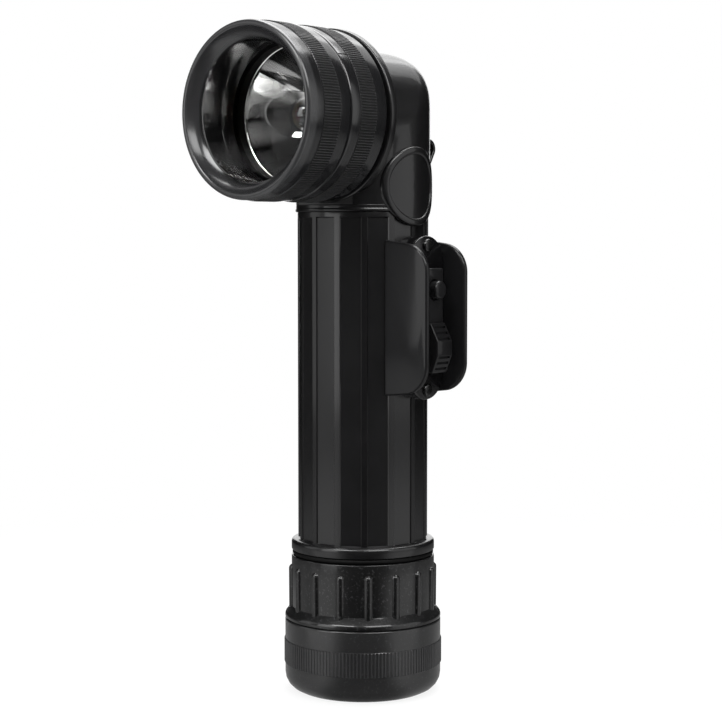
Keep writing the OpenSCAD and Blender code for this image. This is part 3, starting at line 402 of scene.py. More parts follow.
def moulded(recipe, tint, rough, grain, coat, shine):
    """Black moulding with faint mottling, a fine grain and a glossy skin."""
    broad, fine = recipe.noise(MOTTLE, 3.0), recipe.noise(GRAIN)
    wear_and_sheen = recipe.noise(420.0, 4.0)
    return {
        "Base Color": recipe.mix(broad, rgba(tint, 0.8), rgba(tint, 1.25)),
        "Roughness": rough + (broad - 0.5) * 0.10 + (wear_and_sheen - 0.5) * 0.08,
        "Specular IOR Level": shine,
        "Normal": recipe.bump(fine, grain),
        "Coat Weight": coat,
        "Coat Roughness": 0.1,
    }


def foot_black(recipe, tint, look, sizes):
    """Dusty black of the battery cap or the base cover, paler on the tops of the grip ridges:
    rubbing there, and a painted highlight.
    """
    broad, fine = recipe.noise(MOTTLE, 3.0), recipe.noise(GRAIN)
    dust = recipe.ramp(recipe.noise(1500.0, 3.0), 0.58, 0.68)
    across, along = recipe.axes("XY")
    out = (across ** 2.0 + along ** 2.0) ** 0.5
    # Paler ridge tops: rubbing, and a painted highlight that makes the ridges stand out
    sheen_and_wear = recipe.ramp(out, sizes.cover + 0.14 * MM, sizes.cover + 0.27 * MM)
    # Paler colour for the painted ridge highlight and for the dust specks
    wear_and_sheen = recipe.math_node("MAXIMUM", sheen_and_wear, dust)
    return {
        "Base Color": recipe.mix(wear_and_sheen, rgba(tint), rgba(look.sheen_and_wear)),
        "Roughness": look.cap_rough + (broad - 0.5) * 0.12,
        "Specular IOR Level": 0.2,
        "Normal": recipe.bump(fine, 0.004 * MM),
        "Coat Weight": 0.8 + (broad - 0.5) * 0.4,
        "Coat Roughness": 0.12,
    }


def ring_black(recipe, look, sizes):
    """Black of the head rings, with painted sheen on the rim's slope and on the ridge tops, which
    are also rubbed, and painted shade in the grooves.
    """
    broad, fine = recipe.noise(MOTTLE, 3.0), recipe.noise(GRAIN)
    across, along, up = recipe.axes("XYZ")
    front = 0.0 - along
    out = (across ** 2.0 + (up - HEAD_Z) ** 2.0) ** 0.5
    outer = recipe.ramp(out, 22 * MM, 23 * MM)
    crest = sizes.ring + sizes.step + sizes.ridge
    # Paler ridge tops: rubbing, and a painted highlight on the crests
    sheen_and_wear = recipe.ramp(out, crest - 0.15 * MM, crest - 0.03 * MM)
    # Paler slope of the rim down to the mouth: a painted sheen
    slope = recipe.ramp(front, sizes.filter_front - sizes.funnel, sizes.filter_front - 3 * MM)
    rim = slope * recipe.ramp(out, sizes.mouth + 0.2 * MM, sizes.mouth + 0.5 * MM)
    wear_and_sheen = recipe.math_node("MAXIMUM", sheen_and_wear, rim)
    lens_band, filter_band = (
        (front > start) * (front < start + sizes.grip)
        for start in (sizes.lens_grip, sizes.filter_grip)
    )
    # Darker grooves between the ridges: painted shade
    groove = (lens_band + filter_band) * outer * (1.0 - sheen_and_wear)
    tone = recipe.mix(outer, rgba(look.body), rgba(look.head))
    # Painted shade: the grooves take the near black of the rubber
    tone = recipe.mix(groove, tone, rgba(look.rubber))
    return {
        "Base Color": recipe.mix(wear_and_sheen * (0.6 + broad * 0.8), tone, rgba(look.sheen_and_wear)),
        "Roughness": (
            look.head_rough + rim * 0.08 + outer * 0.06 + groove * 0.6 + (broad - 0.5) * 0.06
        ),
        "Normal": recipe.bump(fine, 0.002 * MM),
        "Coat Weight": 0.15 - groove * 0.15,
        "Coat Roughness": 0.1,
    }


def metal(recipe, tint, rough, grain):
    """Bare metal with a faint grain."""
    broad, fine = recipe.noise(160.0, 3.0), recipe.noise(1800.0)
    return {
        "Base Color": recipe.mix(broad, rgba(tint, 0.85), rgba(tint)),
        "Metallic": 1.0,
        "Roughness": rough + (broad - 0.5) * rough * 0.5,
        "Normal": recipe.bump(fine, grain),
    }


def plain(recipe, tint, rough, scale, grain, shine=0.5):
    """Rubber, foam, fibre or coloured glass with spots of one scale."""
    spots = recipe.noise(scale, 4.0)
    return {
        "Specular IOR Level": shine,
        "Base Color": recipe.mix(spots, rgba(tint, 0.7), rgba(tint, 1.3)),
        "Roughness": rough + (spots - 0.5) * 0.1,
        "Normal": recipe.bump(spots, grain),
    }


def clear(recipe, tint, rough, weight, bend=1.46):
    """Glass or a filter that light passes through."""
    haze = recipe.noise(120.0, 2.0)
    return {
        "Base Color": recipe.mix(haze, rgba(tint, 0.97), rgba(tint)),
        "Roughness": rough + haze * 0.01,
        "Transmission Weight": weight,
        "IOR": bend,
    }


def enamel(recipe, tint):
    """Baked enamel with orange peel."""
    orange_peel = recipe.noise(600.0)
    return {
        "Base Color": recipe.mix(orange_peel, rgba(tint, 0.8), rgba(tint, 1.2)),
        "Roughness": 0.16 + orange_peel * 0.08,
        "Normal": recipe.bump(orange_peel, 0.006 * MM),
    }


def jacket(recipe, tint, metal_tint):
    """Plain jacket of both cells, bare metal at the ends of each."""
    half_cell, bare_end = 30.7 * MM, 1.5 * MM
    sleeve = recipe.noise(90.0, 2.0)
    (height,) = recipe.axes("Z")
    middle = (low("battery_lower", "z") + high("battery_upper", "z")) / 2
    near = recipe.math_node("ABSOLUTE", height - middle)
    end = recipe.math_node("PINGPONG", near, half_cell)
    bare = (end > half_cell - bare_end) + (end < bare_end)
    return {
        "Base Color": recipe.mix(bare, rgba(tint), rgba(metal_tint)),
        "Metallic": bare,
        "Roughness": 0.3 + sleeve * 0.1,
    }


def finish(name):
    """The material of one of the record's slots, or of a look that differs within its slot."""
    scene = bpy.context.scene
    look = scene.torch_finish
    # Each row is a builder and its values, in the order of its parameters
    looks = {
        "body_black": (moulded, look.body, look.body_rough, 0.003 * MM, 0.4, 0.35),
        "guard_black": (moulded, look.body, 0.2, 0.003 * MM, 0.3, 0.3),
        "switch_black": (moulded, look.switch, look.switch_rough, 0.006 * MM, 0.3, 0.12),
        "head_black": (ring_black, look, scene.torch_head),
        "cap_black": (foot_black, look.cap, look, scene.torch_foot),
        "cover_black": (foot_black, look.cover, look, scene.torch_foot),
        "rubber": (plain, look.rubber, 0.6, 900.0, 0.01 * MM, 0.15),
        "clip_steel": (enamel, look.clip),
        "spring_steel": (metal, look.steel, 0.28, 0.002 * MM),
        "contact_brass": (metal, look.brass, 0.3, 0.003 * MM),
        "reflector_chrome": (metal, look.chrome, 0.045, 0.0002 * MM),
        "clear_glass": (clear, (1, 1, 1), 0.0, 1.0),
        "lens_glass": (clear, (1, 1, 1), 0.0, 1.0, 1.2),
        "bead_red": (plain, look.bead, 0.15, 300.0, 0.002 * MM),
        "fibre": (plain, look.fibre, 0.7, 1200.0, 0.02 * MM),
        "cell_jacket": (jacket, look.jacket, look.steel),
        "filter_red": (clear, (0.75, 0.02, 0.02), 0.03, 0.85),
        "filter_blue": (clear, (0.03, 0.08, 0.7), 0.03, 0.85),
        "filter_white": (clear, (0.9, 0.9, 0.88), 0.35, 0.6),
        "foam": (plain, look.foam, 0.9, 2600.0, 0.12 * MM),
    }
    build, *values = looks[name]
    return material(name, build, values)


# Shapes


def to_mesh(bm, name):
    """A mesh from a bmesh, which is used up."""
    mesh = bpy.data.meshes.new(name)
    bm.to_mesh(mesh)
    bm.free()
    return mesh


def add_object(name, data):
    """A new object in the scene."""
    made = bpy.data.objects.new(name, data)
    bpy.context.scene.collection.objects.link(made)
    return made


def joined(*parts):
    """One bmesh from several."""
    whole = bmesh.new()
    for part in parts:
        mesh = to_mesh(part, "part")
        whole.from_mesh(mesh)
        bpy.data.meshes.remove(mesh)
    return whole


def weld(bm):
    """Merges doubles and turns all faces outward."""
    bmesh.ops.remove_doubles(bm, verts=bm.verts, dist=WELD)
    bmesh.ops.recalc_face_normals(bm, faces=bm.faces)
    return bm


def everything(bm):
    """All points, edges and faces of a bmesh."""
    return bm.verts[:] + bm.edges[:] + bm.faces[:]


def shift(bm, x, y, z):
    """Moves a whole bmesh."""
    bmesh.ops.translate(bm, verts=bm.verts, vec=(x, y, z))


def spin(bm, turn, steps, axis=(0, 0, 1), **options):
    """Spins a whole bmesh about an axis through the origin."""
    bmesh.ops.spin(
        bm, geom=everything(bm), cent=(0, 0, 0), axis=axis, angle=turn, steps=steps, **options
    )


def pull(bm, faces, vector):
    """Extrudes faces along a vector and returns the new ones."""
    made = bmesh.ops.extrude_face_region(bm, geom=faces)["geom"]
    moved = [g for g in made if isinstance(g, bmesh.types.BMVert)]
    bmesh.ops.translate(bm, verts=moved, vec=vector)
    return [g for g in made if isinstance(g, bmesh.types.BMFace)]


def outline(points, rounds, segments):
    """A flat face through points in space.

    Each of rounds is a radius and the numbers of the corners that it rounds.
    """
    bm = bmesh.new()
    corners = [bm.verts.new(point) for point in points]
    bm.faces.new(corners)
    for radius, numbers in rounds:
        bmesh.ops.bevel(
            bm, geom=[corners[n] for n in numbers], offset=radius, offset_type="OFFSET",
            segments=segments, profile=0.5, affect="VERTICES", material=-1
        )
    return bm


def turned(points, rounds=(), steps=144):
    """Spins a half section of (radius, height) points about Z, rounded as an outline is."""
    bm = outline([(radius, 0, height) for radius, height in points], rounds, ROUND_STEPS)
    bmesh.ops.delete(bm, geom=bm.faces[:], context="FACES_ONLY")
    on_axis = [e for e in bm.edges if max(v.co.x for v in e.verts) < WELD]
    bmesh.ops.delete(bm, geom=on_axis, context="EDGES")
    spin(bm, FULL, steps, use_merge=True)
    return weld(bm)


def rod(radius, start, end, rounds=(), steps=144):
    """A round rod or disc along Z; corners 1 and 2 are its lower and its upper edge."""
    return turned([(0, start), (radius, start), (radius, end), (0, end)], rounds, steps)


def rivet(shank, start, face, head, top, dome):
    """A rivet along Z: its shank up to a face, and the round head on that face."""
    return turned(
        [(0, start), (shank, start), (shank, face), (head, face), (head, top), (0, top)],
        [(dome, (4,))], steps=48
    )


def grip_section(radius, step, start, end):
    """Section of a grip band that stands a step over its ring."""
    raised = radius + step
    return (radius, start), (raised, start + step), (raised, end - step), (radius, end)


def faces_beyond(bm, radius, start, end):
    """Angles and faces of a turned part beyond a radius, between two heights."""
    found = []
    for face in bm.faces:
        middle = face.calc_center_median()
        if start < middle.z < end and middle.xy.length > radius:
            found.append((math.atan2(middle.y, middle.x), face))
    return found


def raise_ridges(bm, reach, start, end, flank, height):
    """Lifts every second face of the band beyond a radius into a grip ridge."""
    band = sorted(faces_beyond(bm, reach, start, end), key=lambda item: item[0])
    bmesh.ops.inset_individual(
        bm, faces=[face for _, face in band[::2]], thickness=flank, depth=height,
        use_even_offset=True
    )


def thread(radius, start, end, pitch, height):
    """A helical ridge with its crest at that radius."""
    bm = bmesh.new()
    root, shoulder = radius - height, radius - 0.25 * height
    section = [
        (root, -0.36), (shoulder, -0.16), (radius, -0.08),
        (radius, 0.08), (shoulder, 0.16), (root, 0.36)
    ]
    bm.faces.new([bm.verts.new((r, 0, start + (0.5 + k) * pitch)) for r, k in section])
    turns = (end - start) / pitch - 1
    per_turn = 72
    steps = round(per_turn * turns)
    spin(bm, turns * FULL, steps, dvec=(0, 0, pitch * turns / steps))
    return weld(bm)


def block(size, centre, edge=0):
    """A box, with soft edges where an edge is given."""
    bm = bmesh.new()
    bmesh.ops.create_cube(bm, size=1, matrix=Matrix.Diagonal((*size, 1)))
    shift(bm, *centre)
    if edge:
        soften(bm, edge)
    return bm


def soften(bm, edge, angle=40, keep=lambda e: True):
    """Rounds the sharp edges of a bmesh."""
    sharp = [
        e for e in bm.edges
        if len(e.link_faces) == 2 and e.calc_face_angle() > math.radians(angle) and keep(e)
    ]
    bmesh.ops.bevel(
        bm, geom=sharp, offset=edge, offset_type="OFFSET", segments=3, profile=0.5,
        affect="EDGES", material=-1, clamp_overlap=True
    )


def prism(points, rounds, thickness):
    """A plate from (x, z) points, from y = 0 to its thickness."""
    bm = outline([(x, 0, z) for x, z in points], rounds, 12)
    pull(bm, bm.faces[:], (0, thickness, 0))
    return weld(bm)


def smooth(mesh):
    """Smooth shading that leaves sharp edges sharp."""
    mesh.shade_smooth()
    mesh.set_sharp_from_angle(angle=math.radians(32))


def piece(bm, name, body, slot, *nodes, look=None):
    """An object from a bmesh, riding on a body and shown in place of CAD nodes."""
    mesh = to_mesh(bm, name)
    smooth(mesh)
    mesh.materials.append(finish(look or slot))
    made = add_object(name, mesh)
    if body:
        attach(made, body)
    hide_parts(*nodes)
    return made


def keep_nodes(slot, *names):
    """Leaves CAD nodes showing, with the finish of their slot."""
    for name in names:
        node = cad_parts[name]
        node.data.materials.clear()
        node.data.materials.append(finish(slot))


def cut(target, *cutters):
    """Takes closed bmeshes away from an object's mesh."""
    for bm in cutters:
        mesh = to_mesh(bm, "cutter")
        tool = add_object("cutter", mesh)
        change = target.modifiers.new("cut", "BOOLEAN")
        change.operation = "DIFFERENCE"
        change.solver = "EXACT"
        change.object = tool
        bpy.context.view_layer.update()
        done = bpy.data.meshes.new_from_object(
            target.evaluated_get(bpy.context.evaluated_depsgraph_get())
        )
        target.modifiers.clear()
        smooth(done)
        old, target.data = target.data, done
        done.name = target.name
        bpy.data.meshes.remove(old)
        bpy.data.objects.remove(tool)
        bpy.data.meshes.remove(mesh)


# Pieces


def fluted_barrel(p):
    """Barrel wall with its collar and flutes."""
    foot, top = low("barrel", "z"), high("barrel", "z")
    root = p.radius - 0.5 * MM
    columns = 10
    bm = turned(
        [
            (p.bore, foot), (root, foot), (root, p.collar_low), (p.collar, p.collar_low),
            (p.collar, p.collar_high), (p.radius, p.collar_high), (p.radius, p.flute_high),
            (p.radius, p.seam), (p.register, p.seam), (p.register, top), (p.bore, top)
        ],
        [(p.collar_edge, (3,)), (p.collar_round, (4,)), (0.4 * MM, (1,)), (0.25 * MM, (7,))],
        steps=columns * p.flutes,
    )
    groups = [[] for _ in range(p.flutes)]
    land = 1 / columns
    for angle, face in faces_beyond(bm, p.radius - 0.1 * MM, p.collar_high, p.flute_high):
        turn = angle % FULL / FULL * p.flutes
        if land < turn % 1 < 1 - land:
            groups[int(turn)].append(face)
    for number, faces in enumerate(groups):
        bmesh.ops.inset_region(
            bm, faces=faces, thickness=p.flute_flank, depth=0, use_boundary=True,
            use_even_offset=True
        )
        angle = (number + 0.5) * FULL / p.flutes
        out = Vector((math.cos(angle), math.sin(angle), 0))
        for vert in {v for face in faces for v in face.verts}:
            vert.co += out * (p.flute_floor - vert.co.dot(out))
    crest = p.radius - 0.05 * MM
    return joined(bm, thread(crest, foot, p.collar_low, pitch=3 * MM, height=0.6 * MM))


def elbow_skin(p):
    """Outer skin of the elbow: two tubes that meet in a mitre, and a squared round back."""
    steps, touching = 96, 1e-7
    mitre = {"plane_co": (0, 0, HEAD_Z), "plane_no": (0, -1, 1)}

    def tube(matrix, vector):
        bm = bmesh.new()
        bmesh.ops.create_circle(bm, cap_ends=False, segments=steps, radius=p.elbow, matrix=matrix)
        made = bmesh.ops.extrude_edge_only(bm, edges=bm.edges[:])
        moved = [g for g in made["geom"] if isinstance(g, bmesh.types.BMVert)]
        bmesh.ops.translate(bm, verts=moved, vec=vector)
        return bm

    def trim(bm, **where):
        bmesh.ops.bisect_plane(bm, geom=everything(bm), dist=touching, **where)

    foot = p.seam + p.elbow_foot
    upright = tube(Matrix.Translation((0, 0, foot)), (0, 0, HEAD_Z - foot))
    trim(upright, clear_outer=True, **mitre)
    within = p.flange_front - 0.1 * MM
    trim(upright, plane_co=(0, -within, 0), plane_no=(0, -1, 0), clear_outer=True)
    level = tube(ON_LAMP, (0, -within, 0))
    trim(level, clear_inner=True, **mitre)
    back = bmesh.new()
    bmesh.ops.create_circle(back, cap_ends=False, segments=steps, radius=p.elbow)
    front_half = [v for v in back.verts if v.co.y < -WELD]
    bmesh.ops.delete(back, geom=front_half, context="VERTS")
    spin(back, QUARTER, 24, axis=(1, 0, 0))
    for vert in back.verts:
        away = vert.co.yz.length
        if away > WELD:
            power = p.corner_power
            up, out = vert.co.z / away, vert.co.y / away
            reach = (abs(up) ** power + abs(out) ** power) ** (-1 / power)
            vert.co.y *= reach
            vert.co.z *= reach
    shift(back, 0, 0, HEAD_Z)
    skin = weld(joined(upright, level, back))
    bmesh.ops.solidify(skin, geom=skin.faces[:], thickness=p.elbow_wall)
    bmesh.ops.recalc_face_normals(skin, faces=skin.faces)
    return skin


def elbow_rings(p):
    """Ring over the seam, flange and head thread of the elbow."""
    bore = p.register + 0.05 * MM
    bead = p.elbow + 0.2 * MM
    ring_top = p.seam + p.elbow_foot
    ring = turned(
        [
            (bore, p.seam), (bead, p.seam), (bead, p.seam + 0.8 * MM),
            (p.elbow, p.seam + 1.1 * MM), (p.elbow, ring_top), (bore, ring_top)
        ],
        [(0.38 * MM, (1, 2)), (0.2 * MM, (4,))],
    )
    mouth = p.elbow + 0.05 * MM
    root, crest = 22.95 * MM, 23.45 * MM
    flange = turned(
        [
            (mouth, p.flange_back), (p.flange, p.flange_back), (p.flange, p.flange_front),
            (root, p.flange_front), (root, p.spigot_front), (mouth, p.spigot_front)
        ],
        [(0.55 * MM, (1, 2)), (0.3 * MM, (4,))],
    )
    start = p.flange_front + 0.4 * MM
    screw = thread(crest, start, p.spigot_front, pitch=2 * MM, height=0.6 * MM)
    head = joined(flange, screw)
    head.transform(ON_LAMP)
    return joined(ring, head)


def side_pad(p):
    """Round pad with a raised rim, wrapped round the elbow; its field is bare."""
    inner = p.radius + 0.1 * MM
    field = p.pad_out - p.pad_sink
    inside = p.pad - p.pad_rim
    # Points between the axis and the rim keep the faces short enough to be wrapped
    bm = turned(
        [
            (0, inner), (4 * MM, inner), (8 * MM, inner), (p.pad, inner), (p.pad, p.pad_out),
            (inside, p.pad_out), (inside - 0.3 * MM, field), (7 * MM, field), (4.7 * MM, field),
            (2.4 * MM, field), (0, field)
        ],
        [(0.6 * MM, (4,)), (0.45 * MM, (5,)), (0.2 * MM, (6,))],
        steps=120,
    )
    bm.transform(Matrix.Translation((0, 0, p.pad_z)) @ ON_SWITCH)
    for vert in bm.verts:
        vert.co.x = math.sqrt(vert.co.x ** 2 - vert.co.y ** 2)
    bmesh.ops.recalc_face_normals(bm, faces=bm.faces)
    return bm


def clip_boss():
    """Flat boss on the elbow's back that carries the belt clip."""
    boss_low, boss_high = 158.8 * MM, 167 * MM
    size = (14.4 * MM, 3 * MM, boss_high - boss_low)
    return block(size, (0, 19.15 * MM, (boss_low + boss_high) / 2), edge=0.4 * MM)


def corner_block(p):
    """Block behind the flange that closes the corner between the head and the barrel."""
    size = (21.6 * MM, 2.6 * MM, 4.4 * MM)
    return block(size, (0, 1.45 * MM - p.flange_front, p.seam + 4 * MM))


class TORCH_OT_barrel(bpy.types.Operator):
    """Barrel with its flutes and collar, and the elbow on top of it"""

    bl_idname = "torch.barrel"
    bl_label = "Barrel and elbow"

    def execute(self, context):
        p = context.scene.torch_barrel
        piece(fluted_barrel(p), "barrel_shell", "torch_body", "body_black", "barrel")
        elbow = joined(
            elbow_skin(p), elbow_rings(p), side_pad(p), clip_boss(), corner_block(p)
        )
        piece(elbow, "elbow_shell", "torch_body", "body_black", "elbow_housing")
        keep_nodes("fibre", "contact_insulator")
        return {"FINISHED"}


class TORCH_OT_head_rings(bpy.types.Operator):
    """Lens ring and filter ring with their grip bands"""

    bl_idname = "torch.head_rings"
    bl_label = "Head rings"

    def lens_ring(self, p):
        bore, pocket, lip = 23.7 * MM, 22.4 * MM, 20.6 * MM
        pocket_start, pocket_end = 27.7 * MM, 35.2 * MM
        root, crest = 22.75 * MM, 23.25 * MM
        grip_end = p.lens_grip + p.grip
        bm = turned(
            [
                (bore, p.lens_back), (p.ring, p.lens_back),
                *grip_section(p.ring, p.step, p.lens_grip, grip_end),
                (p.ring, p.lens_shoulder), (root, p.lens_shoulder),
                (root, p.lens_front), (lip, p.lens_front), (lip, pocket_end),
                (pocket, pocket_end), (pocket, pocket_start), (bore, pocket_start)
            ],
            [(0.8 * MM, (1, 6)), (0.35 * MM, (8, 9))],
            steps=2 * p.ridges,
        )
        half_width = FULL / (4 * p.ridges)
        notch = [
            face for angle, face in faces_beyond(bm, p.ring - 0.05 * MM, grip_end, math.inf)
            if abs(angle - p.notch) < half_width
        ]
        bmesh.ops.inset_region(
            bm, faces=notch, thickness=0.03 * MM, depth=-0.5 * MM, use_even_offset=True
        )
        raise_ridges(bm, p.ring + p.step / 2, p.lens_grip, grip_end, p.flank, p.ridge)
        start = p.lens_shoulder + 1.5 * MM
        screw = thread(crest, start, p.lens_front, pitch=2 * MM, height=p.thread)
        return joined(bm, screw)

    def rim(self, p):
        """Round outer edge of the filter ring and the bulging slope down to its lip."""
        sweep, round_steps, slope_steps = math.radians(130), 12, 8
        points = []
        for number in range(round_steps + 1):
            angle = sweep * number / round_steps
            points.append((
                p.ring - p.rim + p.rim * math.cos(angle),
                p.filter_front - p.rim + p.rim * math.sin(angle)
            ))
        start = Vector(points[-1])
        end = Vector((p.mouth + 0.35 * MM, p.filter_front - p.funnel + 0.3 * MM))
        chord = end - start
        inward = Vector((chord.y, -chord.x)).normalized()
        sink = math.sqrt(p.funnel_round ** 2 - chord.length_squared / 4)
        for number in range(1, slope_steps + 1):
            part = number / slope_steps
            along = (part - 0.5) * chord.length
            lift = math.sqrt(p.funnel_round ** 2 - along ** 2) - sink
            points.append(tuple(start + chord * part - inward * lift))
        return points

    def filter_ring(self, p):
        bore, grip = 23.5 * MM, 7.2 * MM
        shoulder = p.lens_front + 0.2 * MM
        grip_end = p.filter_grip + grip
        lip = p.filter_front - p.funnel
        bm = turned(
            [
                (bore, p.filter_back), (p.ring, p.filter_back),
                *grip_section(p.ring, p.step, p.filter_grip, grip_end),
                *self.rim(p), (p.mouth + 0.3 * MM, lip), (p.mouth, lip - 0.1 * MM),
                (p.mouth, shoulder), (bore, shoulder)
            ],
            [(0.6 * MM, (1,))],
            steps=2 * p.ridges,
        )
        raise_ridges(bm, p.ring + p.step / 2, p.filter_grip, grip_end, p.flank, p.ridge)
        return bm

    def execute(self, context):
        p = context.scene.torch_head
        back, front = self.lens_ring(p), self.filter_ring(p)
        back.transform(ON_LAMP)
        front.transform(ON_LAMP)
        piece(back, "lens_ring_shell", "lens_ring", "head_black", "lens_ring")
        piece(front, "filter_ring_shell", "filter_ring", "head_black", "filter_ring")
        keep_nodes("rubber", "filter_seal")
        return {"FINISHED"}


class TORCH_OT_lamp(bpy.types.Operator):
    """Reflector, bulb and lens"""

    bl_idname = "torch.lamp"
    bl_label = "Lamp"

    def reflector(self):
        focus, rim, hole, steps = 6.7, 19.6, 5.7, 28
        edge = -low("reflector", "y") / MM
        bowl = []
        for number in range(steps + 1):
            radius = hole + (rim - hole) * number / steps
            bowl.append((radius, edge + (radius ** 2 - rim ** 2) / (4 * focus)))
        outside = [
            (22.1, edge), (22.1, 27.7), (21.2, 27.7), (21.2, 28.5), (19.0, 28.0), (16.0, 24.1),
            (11.0, 19.2), (8.0, 17.4), (8.0, 12.4), (6.3, 12.4), (6.3, 15.0), (hole, 15.6)
        ]
        return turned(
            [(r * MM, h * MM) for r, h in bowl + outside], [(0.25 * MM, (steps,))], steps=160
        )

    def glass(self, seat):
        ball, front, wall, neck = 5.5 * MM, 29.6 * MM, 0.45 * MM, 4.4 * MM
        middle = front - ball
        foot, waist = seat + 0.4 * MM, middle - 4.6 * MM
        outer = [(neck, foot), (neck, waist)]
        inner = [(neck - wall, foot), (neck - wall, waist)]
        first, sweep, steps = -42, 132, 16
        for number in range(steps + 1):
            angle = math.radians(first + sweep * number / steps)
            for points, radius in ((outer, ball), (inner, ball - wall)):
                across, along = radius * math.cos(angle), radius * math.sin(angle)
                points.append((max(0, across), middle + along))
        return turned(outer + inner[::-1], steps=64)

    def posts(self, seat):
        """Glass bead of the bulb, and the two posts with the filament between them."""
        wire, spread, top = 0.25 * MM, 1.4 * MM, 24.6 * MM
        parts = []
        for side in (-spread, spread):
            post = rod(wire, seat, top, [(0.15 * MM, (2,))], steps=16)
            shift(post, side, 0, 0)
            parts.append(post)
        bead = rod(
            radius=1.9 * MM, start=17.6 * MM, end=21.2 * MM, rounds=[(1.2 * MM, (1, 2))], steps=40
        )
        coil = thread(0.3 * MM, -1.3 * MM, 1.3 * MM, pitch=0.26 * MM, height=0.14 * MM)
        coil.transform(Matrix.Translation((0, 0, 24.5 * MM)) @ ON_SWITCH)
        return bead, joined(*parts, coil)

    def execute(self, context):
        bulb_seat, lens_edge = 16.4 * MM, 0.35 * MM
        bowl, glass = self.reflector(), self.glass(bulb_seat)
        bead, posts = self.posts(bulb_seat)
        lens = rod(
            high("lens", "x"), -high("lens", "y"), -low("lens", "y"), [(lens_edge, (1, 2))]
        )
        for bm in (bowl, glass, bead, posts, lens):
            bm.transform(ON_LAMP)
        piece(bowl, "reflector_bowl", "lamp", "reflector_chrome", "reflector")
        piece(glass, "bulb_envelope", "lamp", "clear_glass", "bulb_glass")
        piece(bead, "bulb_bead", "lamp", "bead_red", "bulb_filament")
        piece(posts, "bulb_posts", "lamp", "spring_steel", "bulb_filament")
        piece(lens, "lens_disc", "lamp", "clear_glass", "lens", look="lens_glass")
        return {"FINISHED"}


class TORCH_OT_guard(bpy.types.Operator):
    """Switch guard with its two fins, and its rivets"""

    bl_idname = "torch.guard"
    bl_label = "Switch guard"

    def fin(self, p, side):
        root, straight, barrel_side = 17.3 * MM, 13.6 * MM, 20.5 * MM
        points = [
            (root, -p.fin_half), (p.fin_out, -straight - p.fin_round),
            (p.fin_out, straight + p.fin_round), (root, p.fin_half)
        ]
        bm = prism(points, [(p.fin_round, (1, 2))], p.fin)
        soften(bm, p.fin_edge, keep=lambda e: max(v.co.x for v in e.verts) > barrel_side)
        start = p.fin_side - p.fin if side > 0 else -p.fin_side
        shift(bm, 0, start, p.centre)
        return bm

    def base(self, p):
        inner, top_edge = 19.0 * MM, 22 * MM
        half, end = p.base_round, p.base_half
        corners = [
            (inner, y, z) for y, z in ((-half, -end), (half, -end), (half, end), (-half, end))
        ]
        bm = outline(corners, [(half - 0.01 * MM, range(4))], 16)
        pull(bm, bm.faces[:], (p.base_top - inner, 0, 0))
        weld(bm)
        soften(bm, 0.6 * MM, keep=lambda e: min(v.co.x for v in e.verts) > top_edge)
        shift(bm, 0, 0, p.centre)
        return bm

    def guard_rivet(self, p, height):
        bm = rivet(
            shank=1.1 * MM, start=20 * MM, face=p.base_top, head=2 * MM,
            top=p.base_top + 0.9 * MM, dome=0.7 * MM
        )
        bm.transform(Matrix.Translation((0, 0, height)) @ ON_SWITCH)
        return bm

    def execute(self, context):
        p = context.scene.torch_switch
        base = piece(
            self.base(p), "guard_shell", "torch_body", "body_black", "switch_guard",
            look="guard_black"
        )
        cavity = block((16 * MM, 8.6 * MM, 37.5 * MM), (15 * MM, 0, 115.75 * MM))
        slide_slot = block((20 * MM, 5.4 * MM, 13.9 * MM), (25 * MM, 0, 107.75 * MM))
        button_slot = block((20 * MM, 3.6 * MM, 7.9 * MM), (25 * MM, 0, 126.05 * MM))
        cut(base, cavity, slide_slot, button_slot)
        for side, name in ((-1, "guard_fin_front"), (1, "guard_fin_rear")):
            piece(
                self.fin(p, side), name, "torch_body", "body_black", "switch_guard",
                look="switch_black"
            )
        head = 2 * MM
        heights = (low("guard_rivets", "z") + head, high("guard_rivets", "z") - head)
        rivets = joined(*[self.guard_rivet(p, height) for height in heights])
        piece(rivets, "guard_rivet_heads", "torch_body", "clip_steel", "guard_rivets")
        keep_nodes("contact_brass", "lower_contact_strip", "upper_contact_strip", "centre_contact")
        return {"FINISHED"}


